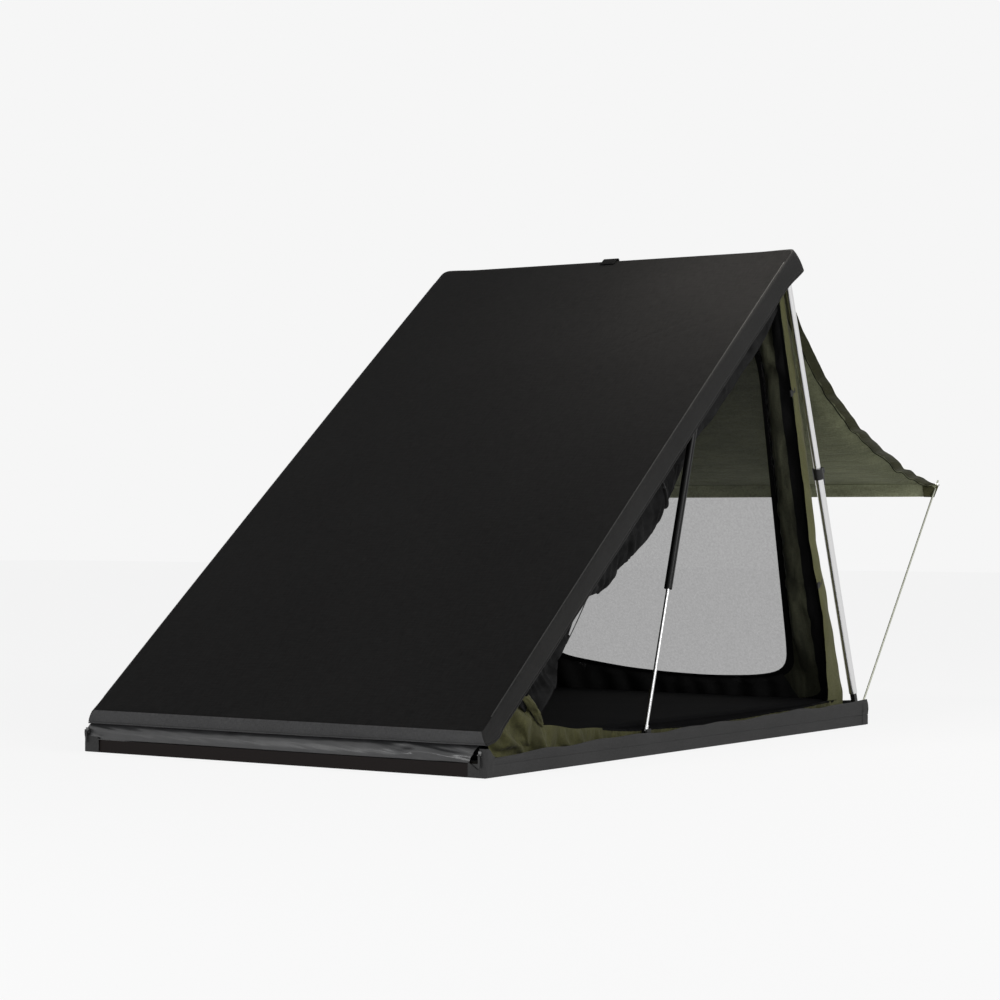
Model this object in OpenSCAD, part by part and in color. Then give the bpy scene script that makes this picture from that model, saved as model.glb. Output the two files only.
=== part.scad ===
// Roof top tent: a flat wedge tent whose covered lid is hinged at the front,
// pushed up by two gas struts and steadied by two telescopic poles at the rear.
// X is the width, Y the length (hinge at -Y), Z is up; the origin is the middle
// of the underside of the base. All sizes are millimetres, the tent stands open.

/* [Base] */
// Length of the base over its rails
base_l = 2100; // [1900:5:2300]
// Width of the base over its rails and skirts
base_w = 1268; // [1150:2:1400]
// Height of the rails round the floor
rail_h = 33; // [30:1:38]
// Depth of a rail, measured inwards
rail_d = 40; // [34:1:50]
// Wall of the rail extrusion
rail_t = 2.5; // [2:0.1:3.5]
// Thickness of the floor panel
floor_t = 20; // [16:1:21]

/* [Mounting] */
// Width of one mounting rail under the floor
mount_w = 46; // [40:1:60]
// Distance between the mounting rails, middle to middle
mount_gap = 800; // [600:10:900]
// Distance between the bolt holes along a rail
bolt_gap = 1100; // [800:10:1400]
// Radius of a bolt hole
bolt_r = 4.5; // [3.5:0.1:5.5]

/* [Lid] */
// Angle of the open lid above the base
lid_angle = 38.74; // [30:0.01:44]
// How far the lid cover stands inside each side of the base
lid_inset = 15.5; // [12:0.5:20]
// How much shorter the lid is than the base
lid_short = 24; // [18:1:40]
// Thickness of the lid panel
panel_t = 18; // [14:1:20]
// Width of a lid frame bar
bar_w = 20; // [16:1:24]
// Thickness of the cover cloth
cover_t = 3; // [2:0.1:4]
// How far the cover rises in the middle
cover_crown = 9; // [4:1:14]
// Height of the hinge pin above the underside of the base
hinge_z = 58; // [54:1:64]

/* [Struts] */
// Radius of the gas strut cylinder
strut_r = 11; // [9:0.5:11.5]
// Radius of the strut rod
strut_rod_r = 5; // [3:0.5:6]
// How far the cylinder is from the lower stud
strut_gap = 400; // [380:1:430]

/* [Poles] */
// Radius of the lower pole tube
pole_r = 12.6; // [12.4:0.1:13.2]
// Radius of the upper pole tube
pole_top_r = 10.2; // [9.4:0.1:10.4]
// Height of the clamp collar along the pole
pole_split = 748; // [700:1:760]
// Length of the black knuckle between the foot and the tube
knuckle_h = 50; // [40:1:60]

/* [Tent] */
// How far each side wall stands inside the edge of the lid
wall_inset = 50.5; // [50:0.5:62]
// Thickness of the wall cloth
cloth_t = 2.5; // [2:0.1:3]
// Height of the mattress at its rim
mattress_h = 48; // [40:1:50]
// Rise of the mattress in the middle
mattress_crown = 8; // [4:1:10]
// Reach of the awning behind the lid
awning_reach = 1040; // [900:1:1100]
// Drop of the awning from the lid to its outer edge
awning_drop = 599; // [520:1:640]
// Radius of an awning rod
rod_r = 3; // [2.5:0.1:3.5]

/* [Hidden] */
$fn = 32;
half_l = base_l / 2;
half_w = base_w / 2;
skin = 2.5;
rail_x = half_w - skin;
rail_y = half_l - skin;
hinge_y = -half_l + 47;
floor_z = rail_h - 3 - floor_t;
floor_top = floor_z + floor_t;
lid_w = base_w - 2 * lid_inset;
lid_l = base_l - lid_short;
lid_half = lid_w / 2;
wall_x = lid_half - wall_inset;
lid_top = 62;
lid_front = 2;
lid_rear = lid_front + lid_l;
bar_x = lid_half - 6.5;
bar_top = lid_top - 6;
bar_low = 20;
bar_rear = lid_rear - 8;
lid_c = cos(lid_angle);
lid_s = sin(lid_angle);

// A point given along the lid from the hinge, turned to the open position
function in_lid(p) = [p[0], hinge_y + p[1] * lid_c - p[2] * lid_s, hinge_z + p[1] * lid_s + p[2] * lid_c];

module on_lid() {
  translate([0, hinge_y, hinge_z])
    rotate([lid_angle, 0, 0])
      children();
}

// Struts: the lower stud is on the base, the upper one hangs from a lid bar
strut_x = lid_half - 36.5;
strut_low = [strut_x, -0.101 * base_l, rail_h + 17];
strut_seat = 0.658 * lid_l;
strut_top = in_lid([strut_x, strut_seat, 2.7]);
strut_v = strut_top - strut_low;
strut_len = norm(strut_v);
strut_tilt = atan2(strut_v[2], strut_v[1]);
strut_end = strut_len - 27;

// Poles: the foot is a fork on the rear corner, the top hooks on the lid bar
pole_foot = [half_w - 33, half_l - 15, rail_h + 17];
head_x = lid_half - 27.5;
head_y = lid_rear - 40;
head_z = 8;
pole_head = in_lid([head_x, head_y, head_z]);
pole_v = pole_head - pole_foot;
pole_len = norm(pole_v);
pole_yaw = atan2(-pole_v[0], -pole_v[1]);
pole_tilt = atan2(norm([pole_v[0], pole_v[1]]), pole_v[2]);

module at_pole() {
  translate(pole_foot)
    rotate([pole_tilt, 0, -pole_yaw])
      children();
}

// Awning: it hangs from the rear of the lid and is spread by two rods
awning_top = in_lid([0, lid_rear - 26, -1]);
awning_end = [0, awning_top[1] + awning_reach, awning_top[2] - awning_drop];
awning_w0 = lid_half - 53;
awning_w1 = lid_half - 18;
awning_k = 1.8;
function awning_fall(s) = (1 - exp(-awning_k * s)) / (1 - exp(-awning_k));
function awning_pt(u, v) = [
  (2 * u - 1) * (awning_w0 + (awning_w1 - awning_w0) * v - 10 * sin(180 * v)),
  awning_top[1] + awning_reach * v,
  awning_top[2] - awning_drop * awning_fall(v) + 22 * sin(180 * u) * sin(180 * v)
    + 5 * sin(180 * v) * sin(360 * 3 * u)];
rod_low = [half_w - 8, half_l - 24, rail_h + 25];
rod_top = [awning_w1 - 4, awning_end[1] + 12.5, awning_end[2] - 2];
rod_v = rod_top - rod_low;
rod_len = norm(rod_v);

module at_rod() {
  translate(rod_low)
    rotate([0, acos(rod_v[2] / rod_len), atan2(rod_v[1], rod_v[0])])
      children();
}

// A closed cloth solid: a grid of points from a formula, with a thickness along d
module cloth(nu, nv, th, d, f, turn = false) {
  top = [for (i = [0 : nu]) for (j = [0 : nv]) f(i / nu, j / nv) + d * th / 2];
  low = [for (i = [0 : nu]) for (j = [0 : nv]) f(i / nu, j / nv) - d * th / 2];
  m = (nu + 1) * (nv + 1);
  w = nv + 1;
  quads = concat(
    [for (i = [0 : nu - 1]) for (j = [0 : nv - 1])
      [i * w + j, i * w + j + 1, (i + 1) * w + j + 1, (i + 1) * w + j]],
    [for (i = [0 : nu - 1]) for (j = [0 : nv - 1])
      [m + i * w + j, m + (i + 1) * w + j, m + (i + 1) * w + j + 1, m + i * w + j + 1]],
    [for (i = [0 : nu - 1]) [i * w, (i + 1) * w, m + (i + 1) * w, m + i * w]],
    [for (i = [0 : nu - 1]) [i * w + nv, m + i * w + nv, m + (i + 1) * w + nv, (i + 1) * w + nv]],
    [for (j = [0 : nv - 1]) [j, m + j, m + j + 1, j + 1]],
    [for (j = [0 : nv - 1]) [nu * w + j, nu * w + j + 1, m + nu * w + j + 1, m + nu * w + j]]);
  faces = [for (q = quads) for (k = [0, 1]) k == 0 ? [q[0], q[1], q[2]] : [q[0], q[2], q[3]]];
  polyhedron(top_points(top, low), turn ? [for (t = faces) [t[2], t[1], t[0]]] : faces);
}
function top_points(a, b) = concat(a, b);

// Rings of points joined into one closed skin, with a middle point at each end
module ringed(rings, first, last) {
  n = len(rings[0]);
  k = len(rings);
  pts = concat([for (r = rings) for (p = r) p], [first, last]);
  a = k * n;
  b = a + 1;
  sides = [for (i = [0 : k - 2]) for (j = [0 : n - 1]) for (h = [0, 1])
    h == 0 ? [i * n + j, (i + 1) * n + (j + 1) % n, i * n + (j + 1) % n]
           : [i * n + j, (i + 1) * n + j, (i + 1) * n + (j + 1) % n]];
  caps = concat(
    [for (j = [0 : n - 1]) [a, j, (j + 1) % n]],
    [for (j = [0 : n - 1]) [b, (k - 1) * n + (j + 1) % n, (k - 1) * n + j]]);
  polyhedron(pts, concat(sides, caps));
}

// One point on a rounded rectangle, j of n points round it, counter-clockwise
function round_rect(hx, hy, r, j, n) =
  let (q = n / 4, c = floor(j / q), a = 90 * (j - c * q) / (q - 1),
    sx = (c == 0 || c == 3) ? 1 : -1, sy = (c == 0 || c == 1) ? 1 : -1)
  [sx * (hx - r) + r * cos(90 * c + a), sy * (hy - r) + r * sin(90 * c + a)];

// Points on a rectangle with rounded corners and stops along its straight sides
function soft_rect(hx, hy, r, n) =
  let (m = n / 4, e = 4, st = m - e)
  [for (c = [0 : 3]) for (k = [0 : m - 1])
    let (sx = (c == 0 || c == 3) ? 1 : -1, sy = (c == 0 || c == 1) ? 1 : -1,
      nx = c == 0 || c == 2 ? -sx : sx, ny = c == 0 || c == 2 ? sy : -sy,
      a = 90 * c + 90 * min(k, e) / e,
      g = k > e ? (k - e) / st : 0,
      p = [sx * (hx - r) + r * cos(a), sy * (hy - r) + r * sin(a)],
      q = [nx * (hx - r) + r * cos(90 * c + 90), ny * (hy - r) + r * sin(90 * c + 90)])
    k <= e ? p : p + (q - p) * g];

// Base: floor, rails and their corner blocks
module floor_panel() {
  color("dimgray")
    translate([-rail_x + rail_d - 10, -rail_y + rail_d - 10, floor_z])
      cube([2 * (rail_x - rail_d + 10), 2 * (rail_y - rail_d + 10), floor_t]);
}

// Rail section: hollow box with a groove that holds the edge of the floor
module rail_section() {
  difference() {
    square([rail_d, rail_h]);
    translate([rail_t, rail_t])
      square([rail_d - 12 - 2 * rail_t, rail_h - 2 * rail_t]);
    translate([rail_d - 10, floor_z])
      square([11, floor_t]);
  }
}

module rail_side() {
  translate([rail_x, rail_y - rail_d, 0])
    rotate([90, 0, 0])
      linear_extrude(2 * (rail_y - rail_d))
        mirror([1, 0, 0])
          rail_section();
}

module rail_right() {
  color("#3c3c3c")
    rail_side();
}

module rail_left() {
  color("#3c3c3c")
    mirror([1, 0, 0])
      rail_side();
}

module rail_end() {
  translate([-rail_x + rail_d, rail_y, 0])
    rotate([90, 0, 90])
      linear_extrude(2 * (rail_x - rail_d))
        mirror([1, 0, 0])
          rail_section();
}

module rail_rear() {
  color("#3c3c3c")
    rail_end();
}

module rail_front() {
  color("#221d1b")
    mirror([0, 1, 0])
      rail_end();
}

// Solid corner blocks that the four rails are screwed to
module corner_blocks() {
  color("#2a2a2a")
    for (sx = [-1, 1])
      for (sy = [-1, 1])
        translate([sx * (rail_x - rail_d / 2), sy * (rail_y - rail_d / 2), 0])
          difference() {
            translate([-rail_d / 2, -rail_d / 2, 0])
              cube([rail_d, rail_d, rail_h]);
            translate([-sx * 10 - (sx < 0 ? 0 : 11), -sy * 10 - (sy < 0 ? 0 : 11), floor_z])
              cube([11, 11, floor_t]);
          }
}

// Mounting rails under the floor, with four bolt holes on a rectangle
module mount_rail(s) {
  translate([s * mount_gap / 2, 0, 0])
    difference() {
      translate([-mount_w / 2, -rail_y + rail_d + 20, 0])
        cube([mount_w, 2 * (rail_y - rail_d - 20), floor_z]);
      translate([-mount_w / 2 + 5, -rail_y + rail_d + 10, 4])
        cube([mount_w - 10, 2 * (rail_y - rail_d - 10), floor_z]);
      for (sy = [-1, 1])
        translate([0, sy * bolt_gap / 2, -1])
          cylinder(r = bolt_r, h = 6);
    }
}

module mount_rail_left() {
  color("silver")
    mount_rail(-1);
}

module mount_rail_right() {
  color("silver")
    mount_rail(1);
}

// Flat-headed rivets that hold the floor to the side rails
rivet_step = (base_l - 420) / 6;

module mount_rivets() {
  color("silver")
    for (sx = [-1, 1])
      for (k = [-3 : 3])
        translate([sx * (rail_x - rail_d + 5), k * rivet_step, rail_h])
          cylinder(r1 = 4.5, r2 = 3, h = 1.6);
}

// Hinges along the front rail
hinge_gap = 0.339 * base_w;
hinge_at = [-hinge_gap, 0, hinge_gap];
knuckle = 22;

module hinge_brackets() {
  color("#2b2b2b")
    for (x = hinge_at)
      for (s = [-1, 1])
        translate([x + s * knuckle - knuckle / 2 + 0.3, hinge_y, 0])
          difference() {
            union() {
              translate([0, -34, rail_h])
                cube([knuckle - 0.6, 29, 4]);
              translate([0, -9, rail_h])
                cube([knuckle - 0.6, 9, hinge_z - rail_h]);
              translate([0, 0, hinge_z])
                rotate([0, 90, 0])
                  cylinder(r = 9, h = knuckle - 0.6);
            }
            translate([-1, 0, hinge_z])
              rotate([0, 90, 0])
                cylinder(r = 4.05, h = knuckle + 2);
          }
}

module hinge_pins() {
  color("silver")
    for (x = hinge_at)
      translate([x - 1.5 * knuckle - 1, hinge_y, hinge_z])
        rotate([0, 90, 0]) {
          cylinder(r = 4, h = 3 * knuckle + 2);
          translate([0, 0, -2])
            cylinder(r = 5.5, h = 2);
        }
}

module hinge_leaves() {
  color("#2b2b2b")
    on_lid()
      for (x = hinge_at)
        translate([x - knuckle / 2 + 0.3, 0, 0])
          difference() {
            union() {
              rotate([0, 90, 0])
                cylinder(r = 9, h = knuckle - 0.6);
              rotate([90, 0, 90])
                linear_extrude(knuckle - 0.6)
                  polygon([[0, -7], [28, -3], [28, bar_low], [13, bar_low], [13, 11], [0, 8.5]]);
            }
            translate([-1, 0, 0])
              rotate([0, 90, 0])
                cylinder(r = 4.05, h = knuckle + 2);
          }
}

// Studs that the lower ends of the struts turn on
module stud_base() {
  translate([strut_x + 7.5, strut_low[1] - 16, rail_h])
    cube([26, 32, 4]);
  translate([strut_x + 7.5, strut_low[1] - 12, rail_h])
    cube([4.5, 24, 30]);
  translate([strut_x - 7, strut_low[1], strut_low[2]])
    rotate([0, 90, 0])
      cylinder(r = 4, h = 17);
}

module strut_studs_base() {
  color("#3a3a3a") {
    stud_base();
    mirror([1, 0, 0])
      stud_base();
  }
}

module stud_lid() {
  translate([strut_x + 5.5, strut_seat - 14, -1.6])
    cube([bar_x - bar_w - strut_x - 5.5, 28, bar_top - panel_t + 1.6]);
  translate([strut_x - 7, strut_seat, 2.7])
    rotate([0, 90, 0])
      cylinder(r = 4, h = 15);
}

module strut_studs_lid() {
  color("#3a3a3a")
    on_lid() {
      stud_lid();
      mirror([1, 0, 0])
        stud_lid();
    }
}

// Gas strut: built along its own axis from the lower stud, then leaned over
module at_strut() {
  translate(strut_low)
    rotate([strut_tilt - 90, 0, 0])
      children();
}

module strut_rod() {
  at_strut() {
    difference() {
      union() {
        rotate([0, 90, 0])
          cylinder(r = 9, h = 10, center = true);
        cylinder(r = 7, h = 24);
        cylinder(r = strut_rod_r, h = strut_gap + 42);
        translate([0, 0, strut_gap + 26])
          cylinder(r = strut_r - 2.05, h = 12);
      }
      rotate([0, 90, 0])
        cylinder(r = 4.05, h = 30, center = true);
    }
  }
}

module strut_cylinder() {
  at_strut() {
    difference() {
      union() {
        translate([0, 0, strut_gap])
          cylinder(r = strut_r, h = strut_end - strut_gap);
        translate([0, 0, strut_end - 1])
          cylinder(r = 5, h = 25);
        translate([0, 0, strut_len])
          rotate([0, 90, 0])
            cylinder(r = 9, h = 10, center = true);
      }
      translate([0, 0, strut_gap + 12])
        cylinder(r = strut_r - 2, h = strut_end - strut_gap - 24);
      translate([0, 0, strut_gap - 1])
        cylinder(r = strut_rod_r + 0.05, h = 20);
      translate([0, 0, strut_len])
        rotate([0, 90, 0])
          cylinder(r = 4.05, h = 30, center = true);
    }
  }
}

module strut_rod_right() {
  color("lightgray")
    strut_rod();
}

module strut_rod_left() {
  color("lightgray")
    mirror([1, 0, 0])
      strut_rod();
}

module strut_cylinder_right() {
  color("#181818")
    strut_cylinder();
}

module strut_cylinder_left() {
  color("#181818")
    mirror([1, 0, 0])
      strut_cylinder();
}

// Pole foot: a fork on the corner block, with an eye behind it for the awning rod
module pole_fork() {
  translate([pole_foot[0], pole_foot[1], 0])
    rotate([0, 0, -pole_yaw]) {
      for (s = [-1, 1])
        translate([s * 10.4 - 2.8, -8.5, rail_h]) {
          cube([5.6, 17, pole_foot[2] - rail_h]);
          translate([0, 8.5, pole_foot[2] - rail_h])
            rotate([0, 90, 0])
              cylinder(r = 8.5, h = 5.6);
        }
      translate([-13.2, 0, pole_foot[2]])
        rotate([0, 90, 0])
          cylinder(r = 5, h = 26.4);
      translate([-13.2, -12, rail_h])
        cube([26.4, 24, 4]);
    }
  difference() {
    union() {
      translate([rod_low[0] - 5.4, rod_low[1] - 10, rail_h])
        cube([10.8, 14, rod_low[2] - rail_h + 4]);
      translate([pole_foot[0], rod_low[1] - 10, rail_h])
        cube([rod_low[0] - pole_foot[0], 10, 5]);
    }
    at_rod()
      translate([0, 0, -8])
        cylinder(r = rod_r + 0.4, h = 60);
  }
}

module pole_foot_right() {
  color("#161616")
    pole_fork();
}

module pole_foot_left() {
  color("#161616")
    mirror([1, 0, 0])
      pole_fork();
}

// Lower tube with its knuckle, the clamp collar, the cam lever and the upper tube
module pole_lower() {
  at_pole() {
    difference() {
      union() {
        rotate([0, 90, 0])
          cylinder(r = 8.5, h = 14, center = true);
        translate([-7, -8, 0])
          cube([14, 16, knuckle_h + 4]);
        translate([0, 0, knuckle_h])
          cylinder(r = pole_r, h = 8);
      }
      rotate([0, 90, 0])
        cylinder(r = 5.05, h = 40, center = true);
    }
    difference() {
      translate([0, 0, knuckle_h + 7])
        cylinder(r = pole_r, h = pole_split - knuckle_h - 7);
      translate([0, 0, knuckle_h + 8])
        cylinder(r = pole_r - 2, h = pole_split);
    }
  }
}

module pole_collar() {
  at_pole() {
    difference() {
      union() {
        translate([0, 0, pole_split - 13])
          cylinder(r = pole_r + 3, h = 33);
        translate([-8, pole_r, pole_split - 2])
          cube([4, 16, 16]);
        translate([4, pole_r, pole_split - 2])
          cube([4, 16, 16]);
      }
      translate([0, 0, pole_split - 14])
        cylinder(r = pole_r + 0.06, h = 14);
      translate([0, 0, pole_split - 1])
        cylinder(r = pole_top_r + 0.06, h = 40);
      translate([-20, pole_r + 10, pole_split + 6])
        rotate([0, 90, 0])
          cylinder(r = 2.55, h = 40);
    }
  }
}

// The cam lever lies down along the tube and swings out to free the upper tube
module pole_lever() {
  at_pole()
    translate([0, pole_r + 10, pole_split + 6]) {
      rotate([0, 90, 0])
        cylinder(r = 2.5, h = 17, center = true);
      rotate([0, 90, 0])
        cylinder(r = 5.4, h = 7.4, center = true);
      translate([-3.7, 0.4, -44])
        cube([7.4, 5, 44]);
    }
}

module pole_upper() {
  at_pole() {
    difference() {
      union() {
        translate([0, 0, pole_split - 60])
          cylinder(r = pole_top_r, h = pole_len - 22 - pole_split + 60);
        translate([0, 0, pole_split - 60])
          cylinder(r = pole_r - 2.06, h = 14);
      }
      translate([0, 0, pole_split - 61])
        cylinder(r = pole_top_r - 1.6, h = pole_len - 32 - pole_split + 60);
    }
    difference() {
      union() {
        translate([0, 0, pole_len - 23])
          cylinder(r = 5.5, h = 17);
        translate([0, 0, pole_len])
          rotate([0, 90, 0])
            cylinder(r = 8, h = 12, center = true);
      }
      translate([0, 0, pole_len])
        rotate([0, 90, 0])
          cylinder(r = 4.6, h = 40, center = true);
    }
  }
}

module pole_lower_right() {
  color("#d8d8d8")
    pole_lower();
}

module pole_lower_left() {
  color("#d8d8d8")
    mirror([1, 0, 0])
      pole_lower();
}

module pole_collar_right() {
  color("#161616")
    pole_collar();
}

module pole_collar_left() {
  color("#161616")
    mirror([1, 0, 0])
      pole_collar();
}

module pole_lever_right() {
  color("#101010")
    pole_lever();
}

module pole_lever_left() {
  color("#101010")
    mirror([1, 0, 0])
      pole_lever();
}

module pole_upper_right() {
  color("#dcdcdc")
    pole_upper();
}

module pole_upper_left() {
  color("#dcdcdc")
    mirror([1, 0, 0])
      pole_upper();
}

// Pins under the rear lid bar that the pole tops hang on
module pole_hook() {
  translate(pole_head)
    rotate([0, 0, -pole_yaw])
      rotate([0, 90, 0])
        cylinder(r = 4, h = 20.4, center = true);
  on_lid()
    translate([head_x, head_y, 0]) {
      for (s = [-1, 1])
        translate([s * 8.6 - 1.8, -9, head_z - 6])
          cube([3.6, 18, bar_low - head_z + 6]);
      translate([-10.4, -9, bar_low - 3])
        cube([bar_x - head_x + 10, 18, 3]);
    }
}

module pole_hooks() {
  color("#2b2b2b") {
    pole_hook();
    mirror([1, 0, 0])
      pole_hook();
  }
}

// Mattress: full in the middle, with its sides drawn in
mat_x = wall_x - 13;
mat_y = half_l - 95;
mat_n = 64;
function mat_ring(inset, z, r) =
  [for (p = soft_rect(mat_x - inset, mat_y - inset, r, mat_n)) [p[0], p[1], z]];
function mat_crown(q) = floor_top + 0.4 + mattress_h + mattress_crown * (1 - pow(q, 4));

module mattress() {
  z0 = floor_top + 0.4;
  rings = concat(
    [for (q = [0.45, 0.8]) [for (p = soft_rect(mat_x * q, mat_y * q, 30, mat_n)) [p[0], p[1], z0]]],
    [mat_ring(16, z0, 30), mat_ring(6, z0 + 4, 36), mat_ring(0, z0 + 11, 40),
      mat_ring(5, z0 + mattress_h * 0.5, 38), mat_ring(0, z0 + mattress_h - 9, 40),
      mat_ring(6, z0 + mattress_h - 3, 36), mat_ring(18, z0 + mattress_h + 1, 30)],
    [for (q = [0.9, 0.72, 0.5, 0.25])
      [for (p = soft_rect(mat_x * q, mat_y * q, 30, mat_n)) [p[0], p[1], mat_crown(q)]]]);
  color("#15161a")
    ringed(rings, [0, 0, z0], [0, 0, mat_crown(0)]);
}

// Skirts: cloth strips on the rails whose upper edge stands up in waves
function skirt_top(y) =
  let (g = (y + half_l) / base_l)
  rail_h + 19 + 17 * g + 2.2 * sin(360 * 4.3 * g) + 1.6 * sin(360 * 9.1 * g + 40);

module skirt_side() {
  n = 60;
  translate([rail_x, 0, 0])
    rotate([90, 0, 90])
      linear_extrude(skin)
        polygon(concat(
          [[-half_l + 32, 0.4], [half_l, 0.4]],
          [for (k = [n : -1 : 0])
            let (y = -half_l + 32 + (base_l - 32) * k / n)
            [y, skirt_top(y)]]));
}

module skirt_right() {
  color("#3e3e3e")
    skirt_side();
}

module skirt_left() {
  color("#3e3e3e")
    mirror([1, 0, 0])
      skirt_side();
}

// Behind the corners the rear skirt is cut low, where the sides of the closed cover pass
rear_x = lid_half - cover_t - 6;

module skirt_rear() {
  n = 40;
  color("#3e3e3e")
    translate([0, half_l, 0])
      rotate([90, 0, 0])
        linear_extrude(skin)
          polygon(concat(
            [[-rail_x, 0.4], [rail_x, 0.4], [rail_x, rail_h + 10], [rear_x, rail_h + 10]],
            [for (k = [n : -1 : 0])
              let (g = k / n)
              [-rear_x + 2 * rear_x * g, rail_h + 36 + 2 * sin(360 * 3.2 * g) - 1.5 * sin(360 * 7 * g)]],
            [[-rear_x, rail_h + 10], [-rail_x, rail_h + 10]]));
}

// Strip of coated cloth between the front rail and the lid, puckered near its ends
front_top = in_lid([0, -4, 17]);
function strip_pt(u, v) =
  let (x = (2 * u - 1) * (half_w - 38),
    edge = exp(-pow((1 - abs(2 * u - 1)) / 0.28, 2)),
    bulge = sin(180 * v),
    fold = (2.2 + 5 * edge) * sin(360 * (9 * u + 1.3 * v)) + 1.4 * sin(360 * (23 * u - 2.1 * v)))
  [x,
    -half_l + 6 + (front_top[1] + half_l - 6) * v - 11 * bulge - bulge * fold * 0.8,
    rail_h + 1.6 + (front_top[2] - rail_h - 1.6) * v + bulge * fold * 0.25];

module front_strip() {
  color("#26272a")
    cloth(48, 6, 1.8, [0, -0.75, 0.66], function(u, v) strip_pt(u, v));
}

// Grey cloth patches round the two front corners
module corner_patch() {
  difference() {
    translate([half_w - 34, -half_l, 0.4])
      cube([34, 66, rail_h + 37]);
    translate([half_w - 35, -half_l + skin, -1])
      cube([35 - skin, 70, 80]);
    translate([half_w - 5, -half_l + 32, -1])
      cube([10, 40, 80]);
    translate([half_w - 36, -half_l - 1, rail_h + 2])
      cube([9, 5, 80]);
  }
}

module corner_patches() {
  color("#4a4a4a") {
    corner_patch();
    mirror([1, 0, 0])
      corner_patch();
  }
}

// Zip sliders at the front corners, with pull tabs that hang from them
zip_x = half_w - 14;
zip_y = -half_l - 2.6;
zip_z = rail_h + 22;

module zip_slider() {
  translate([zip_x - 4.5, zip_y - 2.4, zip_z - 5])
    cube([9, 5, 14]);
  translate([zip_x - 5, zip_y - 5.2, zip_z])
    rotate([0, 90, 0])
      cylinder(r = 1.5, h = 10);
  for (s = [-1, 1])
    translate([zip_x + s * 4 - 1, zip_y - 5.2, zip_z - 1.5])
      cube([2, 4, 3]);
}

module zip_pull() {
  difference() {
    union() {
      translate([zip_x, zip_y - 5.2, zip_z])
        rotate([0, 90, 0])
          cylinder(r = 2.6, h = 5.6, center = true);
      translate([zip_x - 2.8, zip_y - 6.7, zip_z - 29])
        cube([5.6, 2.4, 29]);
    }
    translate([zip_x - 5, zip_y - 5.2, zip_z])
      rotate([0, 90, 0])
        cylinder(r = 1.58, h = 10);
  }
}

module zip_slider_right() {
  color("#151515")
    zip_slider();
}

module zip_slider_left() {
  color("#151515")
    mirror([1, 0, 0])
      zip_slider();
}

module zip_pull_right() {
  color("#101010")
    zip_pull();
}

module zip_pull_left() {
  color("#101010")
    mirror([1, 0, 0])
      zip_pull();
}

// Tent walls: the side walls are wedges under the lid, the rear wall leans to it
wall_low = rail_h + 8;
wall_fold = 10;
wall_front = in_lid([0, 70, wall_fold]);
wall_peak = in_lid([0, lid_rear - 62, wall_fold]);
wall_back = half_l - 72;

module wedge_outline() {
  polygon([[wall_front[1], wall_low], [wall_back, wall_low], [wall_peak[1], wall_peak[2]],
    [wall_front[1], wall_front[2]]]);
}

module wall_left() {
  color("#4c5030")
    translate([-wall_x - cloth_t / 2, 0, 0])
      rotate([90, 0, 90])
        linear_extrude(cloth_t)
          wedge_outline();
}

// The near wall has its door open: a strip along the sill, the rear and the lid stays
door_pts = [in_lid([0, 0.12 * lid_l, -92]), in_lid([0, 0.193 * lid_l, -22]),
  in_lid([0, lid_rear - 150, -22])];
sill_pts = [[door_pts[0][1] - 20, 112], [-0.205 * base_l, 94], [-0.086 * base_l, 76], [0.333 * base_l, 78],
  [wall_back - 80, 96]];

module wall_right() {
  color("#5a5f36")
    translate([wall_x - cloth_t / 2, 0, 0])
      rotate([90, 0, 90])
        linear_extrude(cloth_t)
          difference() {
            wedge_outline();
            polygon(concat(sill_pts, [for (k = [2 : -1 : 0]) [door_pts[k][1], door_pts[k][2]]]));
          }
}

// Rear wall: drawn flat, then leaned from the base to the lid
rear_v = [0, wall_peak[1] - wall_back, wall_peak[2] - wall_low];
rear_len = norm(rear_v);
rear_lean = atan2(-rear_v[1], rear_v[2]);
rear_half = wall_x - cloth_t;

module on_rear() {
  translate([0, wall_back, wall_low])
    rotate([90 + rear_lean, 0, 0])
      children();
}

// Half of the rear door's outline, as shares of the wall's half width and heights up the wall
door_wide = 0.8 * rear_len;
door_half = [[0, 122], [0.6, 132], [0.7, 150], [0.743, 190], [0.828, door_wide], [0.778, rear_len - 118]];
function both_sides(h) = concat([for (p = h) [p[0] * rear_half, p[1]]],
  [for (k = [len(h) - 1 : -1 : 0]) if (h[k][0] > 0) [-h[k][0] * rear_half, h[k][1]]]);

module door_shape() {
  polygon(both_sides(door_half));
}

module wall_rear() {
  color("#2d3020")
    on_rear()
      translate([0, 0, -cloth_t / 2])
        linear_extrude(cloth_t)
          difference() {
            translate([-rear_half, 4])
              square([2 * rear_half, rear_len - 30]);
            door_shape();
          }
}

// Insect mesh of the rear door, on the inside of the rear wall
module mesh_rear() {
  color([0.6, 0.6, 0.6, 0.5])
    on_rear()
      translate([0, 0, cloth_t / 2 + 0.3])
        linear_extrude(0.9)
          polygon(both_sides([[0.76, 118], [0.86, door_wide + 6], [0.83, rear_len - 100]]));
}

// Small hooks sewn to the rear edge of the side walls
module wall_clip(s, g) {
  translate([s * (wall_x + 1.6), wall_back + rear_v[1] * g - 14, wall_low + rear_v[2] * g])
    rotate([rear_lean, 0, 0]) {
      translate([s > 0 ? 0 : -4, -9, -9])
        cube([4, 16, 18]);
      translate([s * 2 - 2, 6, -3])
        cube([4, 16, 6]);
      translate([s * 2 - 2, 18, -3])
        cube([4, 5, 14]);
    }
}

module wall_clips() {
  color("#121212")
    for (s = [-1, 1])
      for (g = [0.3, 0.74])
        wall_clip(s, g);
}

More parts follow.
